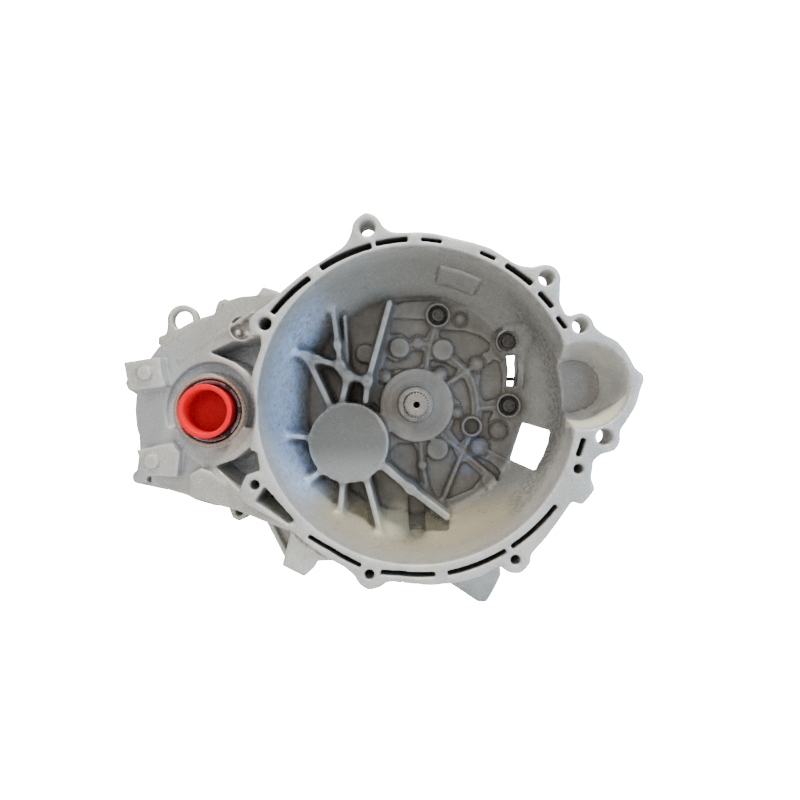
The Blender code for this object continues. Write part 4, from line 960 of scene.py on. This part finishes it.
def tint_bell(look, m):
    """The colours of the bell's walls, floor, ribs and pocket, with their stains, and with light and shade
    painted on: shade on the upper wall, ribs and floor, light on the low walls, blue reflections, shade in
    the groove, and pale cavities.
    """
    ramp, noise, mix, tint, x, y, z = look.ramp, look.noise, look.mix, look.tint, look.x, look.y, look.z
    wall = mix(ramp(noise(26.0, 5.0, 0.65, 4.0), 0.3, 0.7), (0.36, 0.355, 0.33), (0.44, 0.435, 0.405))
    tint(m.deep, wall)
    # Painted shade: the upper wall darker, as it faces away from the light above
    tint(m.deep * ramp(z, 20.0, 80.0) * 0.8, (0.285, 0.28, 0.262))
    # Painted reflection: a blue cast on the left wall. Painted light: a warm yellow one low down, where
    # light from above falls
    streak = ramp(noise(6.0, 6.0, 0.8, 11.0), 0.34, 0.60, 0.1, 1.0)
    tint(m.deep * ramp(x, -75.0, -118.0) * streak, (0.50, 0.68, 1.0))
    tint(m.low * 0.9, (0.40, 0.355, 0.235))
    # Painted shade over the deep ribs and the pockets between them, less of it low down
    tint(m.tops, mix(ramp(z, -38.0, -72.0), (0.135, 0.136, 0.126), (0.275, 0.278, 0.262)))
    patch = ramp(noise(22.0, 4.0, 0.65, 5.0), 0.3, 0.7)
    # Painted shade: the deep floor and its sunk panels made dark, as shade falls there
    tint(m.floor, mix(patch, (0.124, 0.117, 0.104), (0.168, 0.158, 0.141)))
    tint(m.sunk, mix(patch, (0.130, 0.119, 0.104), (0.176, 0.162, 0.142)))
    tint(m.pocket, mix(patch, (0.36, 0.348, 0.32), (0.46, 0.447, 0.41)))
    tint(m.pocket * ramp(y, 33.4, 34.4), (0.175, 0.160, 0.145))
    # Painted light on the starter pocket's low wall, where light from above falls
    tint(m.lit, (0.80, 0.765, 0.61))
    # Painted light: a bright pool of light on the low wall
    light_pool = ramp(look.vector("DISTANCE", look.point, (-16.0, 74.0, -118.0)), 30.0, 14.0)
    tint(light_pool * m.low * 0.75, (0.66, 0.62, 0.44))
    # Painted shade in the drain groove
    tint(m.groove * 0.85, (0.12, 0.112, 0.10))
    # Painted shade on the disc round the shaft, a little less than on the floor
    tint(m.disc, mix(patch, (0.195, 0.183, 0.163), (0.235, 0.219, 0.195)))
    # Painted reflection: a blue cast of sky light on the ribs beside the window
    window_reflection = ramp(look.vector("DISTANCE", look.point, (60.0, 90.0, -54.0)), 34.0, 12.0)
    tint(window_reflection * ramp(noise(9.0, 3.0, 0.6, 13.0), 0.42, 0.6) * 0.6, (0.19, 0.235, 0.36))
    tint(m.cone * 0.6, (0.33, 0.325, 0.305))
    # The ring of dirt just inside the mouth, then a stained band beside the starter pocket, then brown spots
    mouth = m.within * ramp(y, 0.5, 3.0) * ramp(y, 8.0, 30.0, 1.0, 0.0)
    tint(mouth * ramp(noise(14.0, 6.0, 0.75, 7.0), 0.44, 0.60) * 0.7, (0.16, 0.14, 0.11))
    band = ramp(x, 84.0, 100.0) * ramp(m.across, 131.0, 137.0) * m.deep * ramp(m.across, 143.4, 142.2)
    tint(band * ramp(noise(4.0, 5.0, 0.75, 15.0), 0.36, 0.62, 0.1, 0.75), (0.155, 0.145, 0.125))
    tint(m.deep * ramp(noise(7.0, 6.0, 0.75, 9.0), 0.57, 0.70) * 0.5, (0.13, 0.105, 0.075))
    # The differential side and the flange beside the starter are greyer
    tint(m.side * 0.4, (0.36, 0.35, 0.32))
    tint(m.right * 0.5, (0.34, 0.335, 0.315))
    # Painted light: the cavities beside the differential made pale and bluish against the shade in them
    tint(m.cavity * 0.85, (0.52, 0.54, 0.58))


def cast_aluminium(name, inside_bell=False):
    """Sand-cast aluminium: pale and sparkling where clean, the sparkle painted on as glints, with grey grime
    and painted shade in the corners.
    """
    look = Look(name)
    ramp, tint = look.ramp, look.tint
    blotch, fine, grain = look.noise(38.0, 4.0, 0.6), look.noise(1.5, 2.0, 0.7, 3.0), look.cells(0.62)
    look.color = look.mix(ramp(blotch, 0.35, 0.68), (0.56, 0.55, 0.505), (0.44, 0.432, 0.398))
    hollow = look.attribute("hollow")
    grime_and_shade = ramp(hollow, -0.08, -0.6) * ramp(fine, 0.2, 0.7, 0.6, 1.0)
    worn = ramp(hollow, 0.3, 1.2) * 0.35
    sparkle, veil = ramp(grain, 0.86, 1.0, 0.0, 0.55), ramp(fine, 0.3, 0.75, 0.0, 0.16)
    metallic, specular = 0.35, 0.5
    if inside_bell:
        m = bell_masks(look)
        tint_bell(look, m)
        # Less grime and painted shade, wear and painted glints where the casting is dull or only its narrow
        # pockets are painted dark
        slots, calm, matt = look.attribute("well"), 1.0 - m.floor * 0.8, 1.0 - m.tops * 0.75
        grime_and_shade = grime_and_shade * (1.0 - look.math("MAXIMUM", m.side, m.pocket) * 0.72) * (0.25 + calm * 0.75)
        worn = worn * calm
        sparkle = sparkle * calm * matt * (1.0 - m.pocket * 0.75)
        sparkle = sparkle * (1.0 - look.math("MAXIMUM", slots, m.deep * 0.4))
        veil = veil * matt
        high = m.tops * ramp(look.z, -72.0, -38.0)
        metallic, specular = 0.35 - high * 0.15, 0.5 - high * 0.2
    # Grime and painted shade darken the hollow corners
    tint(grime_and_shade * 0.8, (0.06, 0.055, 0.048))
    tint(worn, (0.72, 0.72, 0.69))
    if inside_bell:
        # Painted shade making the bottoms of the flange's pockets near-black, and the rusted rim of the
        # seal's bore
        tint(slots * 0.93, (0.035, 0.032, 0.028))
        rust = look.mix(look.noise(1.6, 3.0, 0.7, 12.0), (0.22, 0.12, 0.075), (0.42, 0.33, 0.26))
        tint(m.seal_rim * 0.85, rust)
    tint(ramp(grain, 0.0, 0.12, 0.30, 0.0), (0.16, 0.155, 0.14))
    # Painted glints: bright specks of sparkle on the grains
    tint(sparkle, (0.86, 0.86, 0.84))
    tint(veil, (0.30, 0.295, 0.27))
    look.bump(look.noise(0.9, 3.0, 0.7, 1.0), 0.3, 0.8)
    look.bump(look.noise(3.2, 4.0, 0.65, 2.0), 0.5, 0.6)
    rough = ramp(blotch, 0.3, 0.7, 0.50, 0.60) + ramp(grain, 0.8, 1.0, 0.0, -0.2)
    return look.finish(rough, metallic, specular)


def bare_metal(name, pale, dark, rough, metallic=1.0, rust=0.0, grooved=False):
    """Machined or plated metal with fine scratches, stains and, if asked, rust or a shaft's dark grooves
    with painted shade in its drilled centre.
    """
    look = Look(name)
    ramp, noise = look.ramp, look.noise
    stain = ramp(noise(6.0, 5.0, 0.7), 0.35, 0.7)
    look.color = look.mix(stain, pale, dark)
    if rust:
        brown = look.mix(noise(1.2, 3.0, 0.7, 4.0), (0.20, 0.085, 0.04), (0.34, 0.20, 0.12))
        look.tint(ramp(noise(4.0, 5.0, 0.75, 6.0), 0.62 - rust * 0.4, 0.72 - rust * 0.2, 0.0, 0.9), brown)
    if grooved:
        r = look.vector("LENGTH", look.flat())
        groove = ramp(r, 9.2, 9.6) * ramp(look.y, 15.8, 16.4)
        drill = ramp(r, 3.9, 3.5) * ramp(look.y, 14.3, 15.4)
        # Near black over the shaft's grooves, and painted shade inside its drilled centre
        look.tint(look.math("MAXIMUM", groove, drill), (0.006, 0.005, 0.004))
    scratch = noise(0.5, 2.0, 0.8, 8.0)
    look.tint(ramp(scratch, 0.55, 0.8, 0.0, 0.3), tuple(0.5 * c for c in dark))
    look.bump(scratch, 0.05, 0.4)
    return look.finish(ramp(stain, 0.0, 1.0, rough, rough + 0.15), metallic)


def plastic(name, color, shade, rough, well=0.0):
    """Moulded plastic with wear. A well paints shade, darkening what lies that many millimetres in from the
    engine face.
    """
    look = Look(name)
    wear = look.ramp(look.noise(5.0, 4.0, 0.6), 0.35, 0.75)
    look.color = look.mix(wear, color, shade)
    look.tint(look.ramp(look.noise(0.8,
        2.0, 0.7, 2.0), 0.62, 0.8, 0.0, 0.35), tuple(0.6 * c for c in shade))
    if well:
        # Painted shade, deeper in from the engine face, for the inside of a cup
        look.tint(look.ramp(look.y, well, well + 22.0, 0.0, 0.75), tuple(0.3 * c for c in shade))
    look.bump(look.noise(1.4, 3.0, 0.6, 3.0), 0.06, 0.5)
    return look.finish(look.ramp(wear, 0.0, 1.0, rough, rough + 0.12), 0.0, 0.12)


def show(piece, body, slot, material, *nodes):
    piece.data.materials.clear()
    piece.data.materials.append(material)
    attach(piece, body)
    if nodes:
        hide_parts(*nodes)
    return piece


# ---------------------------------------------------------------- the pieces


def spline_nose():
    """The input shaft's splined end, over the plain round of the solid, with its drilled centre."""
    teeth = 24
    root, tip = 9.5, 11.5
    drill = [(0, 24.2), (1.2, 23.0), (2.9, 15.6), (3.1, 14.4)]
    bm = bmesh.new()
    sections = [(13.55, 8.9, 9.3), (14.6, 9.4, 11.0), (15.2, root, tip), (62.4, root, tip),
        (64.0, root + 0.6, tip)]
    count = teeth * 5
    rings = []
    for r, along in drill[1:] + [(4.3, 13.55)]:
        turns = [2 * math.pi * i / count for i in range(count)]
        rings.append([bm.verts.new(spot(INPUT,
            "Y", r * math.cos(a), r * math.sin(a), along)) for a in turns])
    for along, r0, r1 in sections:
        rings.append([bm.verts.new(spot(INPUT, "Y", u, v, along)) for u, v in toothed(teeth, r0, r1)])
    for a, b in zip(rings, rings[1:]):
        for i in range(count):
            j = (i + 1) % count
            bm.faces.new((a[i], a[j], b[j], b[i]))
    bottom = bm.verts.new(spot(INPUT, "Y", 0, 0, drill[0][1]))
    for i in range(count):
        bm.faces.new((bottom, rings[0][(i + 1) % count], rings[0][i]))
    bm.faces.new(rings[-1][::-1])
    return made_from(bm, "input_spline")


def bell_bolt(i, place):
    """A flange-head bolt with a hollow in its head, standing in its ringed seat."""
    return lathe(f"bell_bolt_head_{i}", [(0, 91.4), (9.3, 91.4), (9.3, 90.2), (7.2, 89.2), (6.9, 84.4),
        (6.2, 83.4),
                                         (4.0, 83.4), (3.9, 84.3), (0, 84.3)], place, size=0.25)


def hex_bolt(name, place, across, washer, y0, height):
    """A hexagon flange bolt whose head rises towards +Y."""
    flange = lathe("flange", [(0, y0), (washer, y0), (washer, y0 + 0.9), (across * 0.56, y0 + 2.2),
        (0, y0 + 2.2)],
                   place, size=0.2, count=48)
    hexagon = polygon(6, across, 0.4)
    small = [(u * 0.9, v * 0.9) for u, v in hexagon]
    dish = [(u * 0.66, v * 0.66) for u, v in hexagon]
    head = stacked("head", [(y0 + 1.4, hexagon), (y0 + height - 0.8, hexagon), (y0 + height, small),
                            (y0 + height, dish), (y0 + height - 0.7,
                                [(u * 0.9, v * 0.9) for u, v in dish])],
                   centre=place)
    return merged(name, flange, head)


def seal_ring(name, face, sign):
    """The rubber lip and the notched metal ring around an axle bore."""
    def at(rows):
        return [(r, face + sign * t) for r, t in rows]

    lip = [(25.4, 6.2), (26.6, 4.6), (30.3, 5.2), (30.3, 9.0), (25.2, 9.0)]
    rubber = lathe(name + "_lip", at(lip), DIFF, size=0.3)
    near, far = sorted((face + sign * 0.4, face + sign * 6.0))
    blocks = []
    for degrees in (2, 52, 128, 178, 232, 308):
        a = math.radians(degrees)
        out, side = Vector((math.cos(a), math.sin(a))), Vector((-math.sin(a), math.cos(a)))
        corners = [out * r + side * t for r, t in ((27.0, -2.9), (29.6, -2.9), (29.6, 2.9), (27.0, 2.9))]
        blocks.append(stacked("block", [(near, [tuple(c) for c in corners]), (far,
            [tuple(c) for c in corners])],
                              centre=DIFF))
    ring = lathe(name + "_case", at([(25.6, 4.4), (26.2, 3.4), (28.4, 0.8), (28.9, 0.8), (29.2, 1.4),
        (29.2, 6.4),
                                     (25.6, 6.4)]), DIFF, size=0.2)
    return merged(name + "_lip", rubber, *blocks), ring


def axle_plug(name, face, sign):
    rows = [
        (0, 6.2), (18.7, 6.2), (19.3, 4.8), (20.3, -12.4), (20.9, -13.5), (22.0, -14.0), (24.7, -14.0),
        (25.3, -13.4),
        (25.3, -11.6), (24.7, -10.9), (24.0, -10.4), (23.6, 2.0), (23.3, 12.0), (0, 12.0),
    ]
    return lathe(name, [(r, face + sign * t) for r, t in rows], DIFF, size=0.3, count=128)


def guide_sleeve():
    tube = lathe("guide_sleeve_turned", [
        (11.8, 36.0), (12.2, 35.6), (13.6, 35.6), (13.9, 36.3), (14.6, 36.3), (15.8, 36.0),
        (16.6, 37.4), (16.8, 60.0),
        (17.2, 78.0), (18.8, 80.4), (18.8, 85.6), (11.8, 85.6),
    ], INPUT, size=0.3)
    plate = lathe("guide_sleeve_plate", [(19.0, 81.4), (20.6, 81.4), (21.0, 83.0), (22.8, 83.2),
        (23.4, 84.0),
                                         (29.8, 84.0), (29.8, 85.6), (19.0, 85.6)], INPUT, size=0.2)
    return tube, plate


def slot_bridge():
    """A web seen across the curved slot, behind the bell's floor, near-black to stand in for the shade it
    lies in.
    """
    ends = [(97.5, 25.4), (113.0, 25.4), (113.0, 29.6), (97.5, 29.6)]
    return stacked("slot_bridge", [(108.0, ends), (112.0, ends)])


def lever():
    """The shift lever: a clamped hub, a cranked arm with a ball stud, and a counterweight."""
    x, y = selector_axis()
    hub = lathe("hub", [(8.8, 140), (13.4, 140), (14, 140.6), (14, 151.4), (13.4, 152), (8.8, 152)],
        (x, y), "Z")
    outline = [(-3.5, -5), (8, -5), (57, -4.5), (63, -2.5), (66, 1), (66, 7), (63.5, 10.5), (58, 12.5),
        (14, 12.5),
               (0, 13)]
    arm = stacked("arm", [(142.0, [(u * 0.985, v * 0.985) for u, v in outline]), (142.6, outline),
        (148.4, outline),
                          (149.0, [(u * 0.985, v * 0.985) for u, v in outline])], "Z", (x, y))
    stud = lathe("stud", [(0, 147), (3.6, 147), (3.6, 151.4), (2.9, 152.6), (4.6, 154.6), (5.2, 157.4),
        (4.4, 159.8),
                          (2.6, 161.0), (0, 161.2)], (x + 58, y + 4), "Z", size=0.15)
    weight = lathe("weight", [(0, 138), (11.4, 138), (12, 138.7), (12, 153.3), (11.4, 154), (0, 154)],
        (x - 34, y), "Z")
    neck = stacked("neck", [(142.4, [(-34, -4), (-12, -4), (-12, 4), (-34, 4)]),
                            (148.6, [(-34, -4), (-12, -4), (-12, 4), (-34, 4)])], "Z", (x, y))
    return merged("shift_lever_forged", hub, arm, stud, weight, neck)


def hexed(name, body, size, place, axis, low, high):
    """A turned fitting with a hexagon on it."""
    flats = polygon(6, size, 0.3)
    trimmed = [(u * 0.93, v * 0.93) for u, v in flats]
    step = 0.8 if high > low else -0.8
    nut = stacked("nut", [(low, flats), (high - step, flats), (high, trimmed)], axis, place)
    return merged(name, lathe("body", body, place, axis, size=0.25), nut)


def fittings():
    """The drain and filler plugs, reverse-light switch, breather and the selector's guide with its bolts."""
    drain = hexed("drain_plug_head", [(0, -125.4), (10.9, -125.4), (10.9, -122.4), (7.8, -122.4),
        (7.8, -98), (0, -98)],
                  15.4, (-112, 156), "Z", -124.0, -133.8)
    filler = hexed("filler_plug_head", [(0, 60), (7.8, 60), (7.8, 74.4), (10.9, 74.4), (10.9, 77.4),
        (0, 77.4)],
                   15.4, (262, 0), "X", 76.0, 85.8)
    switch = hexed("reverse_light_body", [
        (0, 68), (6.8, 68), (6.8, 90.5), (8.6, 90.6), (8.6, 99.6), (7.4, 101.0), (7.4, 104.0),
        (8.9, 104.6), (8.9, 107.0),
        (8.0, 107.6), (8.0, 110.4), (8.9, 111.0), (8.9, 117.6), (7.6, 117.9), (7.2, 113.0), (0, 113.0),
    ], 19.5, (-22, 246), "Z", 90.8, 98.6)
    cap = lathe("breather_cap", [
        (0, 62), (2.9, 62), (2.9, 74.5), (5.6, 74.5), (6.0, 75.6), (5.4, 76.2), (5.5, 81.4),
        (6.3, 82.0), (6.2, 84.6),
        (4.6, 86.6), (2.4, 87.3), (0, 87.4),
    ], (-70, 262), "Z", size=0.2)
    guide = lathe("selector_guide_turned", [
        (9.2, 96.5), (23.6, 96.5), (23.9, 97.0), (23.9, 101.0), (22.8, 102.0), (16.4, 103.6),
        (15.0, 106.0), (14.2, 112.0),
        (14.6, 113.0), (14.6, 115.0), (13.4, 116.0), (12.8, 121.0), (12.0, 121.8), (9.2, 121.8),
    ], (-58, 196), "Z", size=0.3)
    bolts = []
    for i, degrees in enumerate((30, 150, 270)):
        a = math.radians(degrees)
        spot_at = (-58 + 19.6 * math.cos(a), 196 + 19.6 * math.sin(a))
        body = [(0, 101.0), (4.0, 101.0), (4.0, 102.6), (0, 102.6)]
        bolts.append(hexed(f"guide_bolt_{i + 1}", body, 6.4, spot_at, "Z", 102.0, 105.4))
    return drain, filler, switch, cap, guide, bolts


def selector_axis():
    """The (x, y) of the upright axis that the selector's pieces turn on."""
    return (design(centre_of("control_shaft")).x, design(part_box("selector_guide")[0]).y + 24.0)


aluminium = cast_aluminium("aluminium_outside")
bell_aluminium = cast_aluminium("aluminium_housing", inside_bell=True)
steel = bare_metal("bright_steel", (0.62, 0.60, 0.56), (0.34, 0.32, 0.29), 0.26)
spline_metal = bare_metal("spline_steel", (0.27, 0.245, 0.21), (0.16, 0.14, 0.12), 0.4, 0.3, grooved=True)
sleeve_metal = bare_metal("sleeve_steel", (0.25, 0.242, 0.225), (0.17, 0.163, 0.15), 0.45, 0.3)
dull_steel = bare_metal("dull_steel", (0.50, 0.49, 0.47), (0.36, 0.35, 0.33), 0.38, 0.85)
gears = bare_metal("gear_steel", (0.40, 0.40, 0.41), (0.26, 0.26, 0.27), 0.3)
races = bare_metal("bearing_steel", (0.56, 0.56, 0.57), (0.42, 0.42, 0.43), 0.2)
bronze = bare_metal("bronze", (0.60, 0.43, 0.21), (0.42, 0.28, 0.13), 0.35)
black_bolt = bare_metal("dark_bolt", (0.075, 0.068, 0.062), (0.042, 0.038, 0.036), 0.45, 0.5, rust=0.02)
zinc = bare_metal("zinc_bolt", (0.58, 0.56, 0.50), (0.42, 0.40, 0.34), 0.32, 0.9)
ring_metal = bare_metal("seal_case_metal", (0.66, 0.68, 0.70), (0.40, 0.41, 0.42), 0.28, 0.75)
rubber = plastic("seal_rubber", (0.035, 0.032, 0.03), (0.06, 0.055, 0.05), 0.55)
red = plastic("red_plastic", (0.88, 0.002, 0.014), (0.78, 0.002, 0.012), 0.5, 13.0)
black = plastic("black_plastic", (0.025, 0.025, 0.026), (0.05, 0.05, 0.05), 0.42)

LOOKS = {
    "cast_aluminium": aluminium, "machined_steel": steel, "gear_steel": gears, "bearing_steel": races,
    "bronze": bronze, "dark_bolt": black_bolt, "zinc_bolt": zinc, "seal_rubber": rubber, "red_plastic": red,
    "black_plastic": black,
}
for part in frame["record"]["subparts"]:
    shown = NODES[part["node"]]
    shown.data.materials.clear()
    shown.data.materials.append(LOOKS[part["material_slot"]])

housing = clutch_housing().piece("clutch_housing_casting", 0.15, slot_shapes())
show(housing, "housing", "cast_aluminium", bell_aluminium, "clutch_housing")
show(transmission_case().piece("case_casting",
    0.15), "housing", "cast_aluminium", aluminium, "transmission_case")
show(rear_cover().piece("cover_casting", 0.15), "housing", "cast_aluminium", aluminium, "rear_cover")
tube, plate = guide_sleeve()
show(tube, "housing", "machined_steel", sleeve_metal, "guide_sleeve")
show(plate, "housing", "machined_steel", bell_aluminium)
show(slot_bridge(), "housing", "seal_rubber", rubber)
show(spline_nose(), "input", "machined_steel", spline_metal)
for i, place in enumerate(BELL_BOLTS, 1):
    show(bell_bolt(i, place), "housing", "dark_bolt", black_bolt, f"bell_bolt_{i}")
for i, place in enumerate(CASE_BOLTS, 1):
    head = hex_bolt(f"case_bolt_head_{i}", place, 13, 9.2, 128.3, 8.0)
    show(head, "housing", "zinc_bolt", zinc, f"case_bolt_{i}")
for i, place in enumerate(COVER_BOLTS, 1):
    head = hex_bolt(f"cover_bolt_head_{i}", place, 10, 7.4, 308.6, 6.3)
    show(head, "housing", "zinc_bolt", zinc, f"cover_bolt_{i}")
for end, face, sign in (("front", 28.5, 1), ("rear", 211.0, -1)):
    lip, case = seal_ring("axle_seal_" + end, face, sign)
    show(lip, "housing", "seal_rubber", rubber, "axle_seal_" + end)
    show(case, "housing", "machined_steel", ring_metal)
    show(axle_plug("axle_cap_" + end, face, sign), end + "_plug", "red_plastic", red, "axle_plug_" + end)
show(lever(), "lever", "machined_steel", dull_steel, "shift_lever")
drain, filler, switch, cap, guide, guide_bolts = fittings()
show(drain, "housing", "zinc_bolt", zinc, "drain_plug")
show(filler, "housing", "zinc_bolt", zinc, "filler_plug")
show(switch, "housing", "black_plastic", black, "reverse_light_switch")
show(cap, "housing", "black_plastic", black, "breather")
show(guide, "housing", "cast_aluminium", aluminium, "selector_guide")
for piece in guide_bolts:
    show(piece, "housing", "zinc_bolt", zinc)


# ---------------------------------------------------------------- floor, light and camera


def area_light(name, place, aim, size, power, color=(1, 1, 1)):
    data = bpy.data.lights.new(name, "AREA")
    data.size, data.energy, data.color = size, power, color
    lamp = bpy.data.objects.new(name, data)
    bpy.context.scene.collection.objects.link(lamp)
    lamp.location = PLACE + Vector(place) * MM
    lamp.rotation_euler = (PLACE + Vector(aim) * MM - lamp.location).to_track_quat("-Z", "Y").to_euler()


def glowing_paint(name, albedo, glow):
    """Pale paint that also glows for the camera alone, so that the stage stays white behind the object."""
    paint = bpy.data.materials.new(name)
    paint.use_nodes = True
    tree = paint.node_tree
    shader = tree.nodes["Principled BSDF"]
    shader.inputs["Base Color"].default_value = (albedo, albedo, albedo, 1.0)
    shader.inputs["Roughness"].default_value = 0.9
    shader.inputs["Emission Color"].default_value = (1.0, 1.0, 1.0, 1.0)
    scaled = tree.nodes.new("ShaderNodeMath")
    scaled.operation = "MULTIPLY"
    scaled.inputs[1].default_value = glow
    tree.links.new(tree.nodes.new("ShaderNodeLightPath").outputs["Is Camera Ray"], scaled.inputs[0])
    tree.links.new(scaled.outputs[0], shader.inputs["Emission Strength"])
    return paint


bm = bmesh.new()
bmesh.ops.create_grid(bm, x_segments=1, y_segments=1, size=6.0)
floor = made_from(bm, "floor")
floor.data.materials.append(glowing_paint("floor_paint", 0.85, 30.0))

world = bpy.data.worlds.new("studio")
world.use_nodes = True
seen = world.node_tree.nodes.new("ShaderNodeLightPath").outputs["Is Camera Ray"]
strength = world.node_tree.nodes.new("ShaderNodeMapRange")
strength.inputs["To Min"].default_value, strength.inputs["To Max"].default_value = 0.30, 30.0
world.node_tree.links.new(seen, strength.inputs["Value"])
world.node_tree.links.new(strength.outputs[0], world.node_tree.nodes["Background"].inputs["Strength"])
world.node_tree.nodes["Background"].inputs["Color"].default_value = (1.0, 1.0, 1.0, 1.0)
bpy.context.scene.world = world
area_light("key", (60, -460, 1500), (0, 60, -60), 0.26, 37, (1.0, 0.955, 0.87))
area_light("front", (-500, -1400, 700), (0, 0, 0), 0.9, 12, (1.0, 0.99, 0.96))
area_light("side", (800, -520, 60), (-120, 40, 10), 0.5, 8, (0.50, 0.71, 1.0))

camera = bpy.data.objects.new("camera", bpy.data.cameras.new("camera"))
bpy.context.scene.collection.objects.link(camera)
camera.data.lens, camera.data.sensor_width = 25.0, 36.0
camera.data.clip_start = 0.01
camera.location = PLACE + Vector((-15.3, -500.0, 4.5)) * MM
camera.rotation_euler = (math.pi / 2, 0, 0)
bpy.context.scene.camera = camera
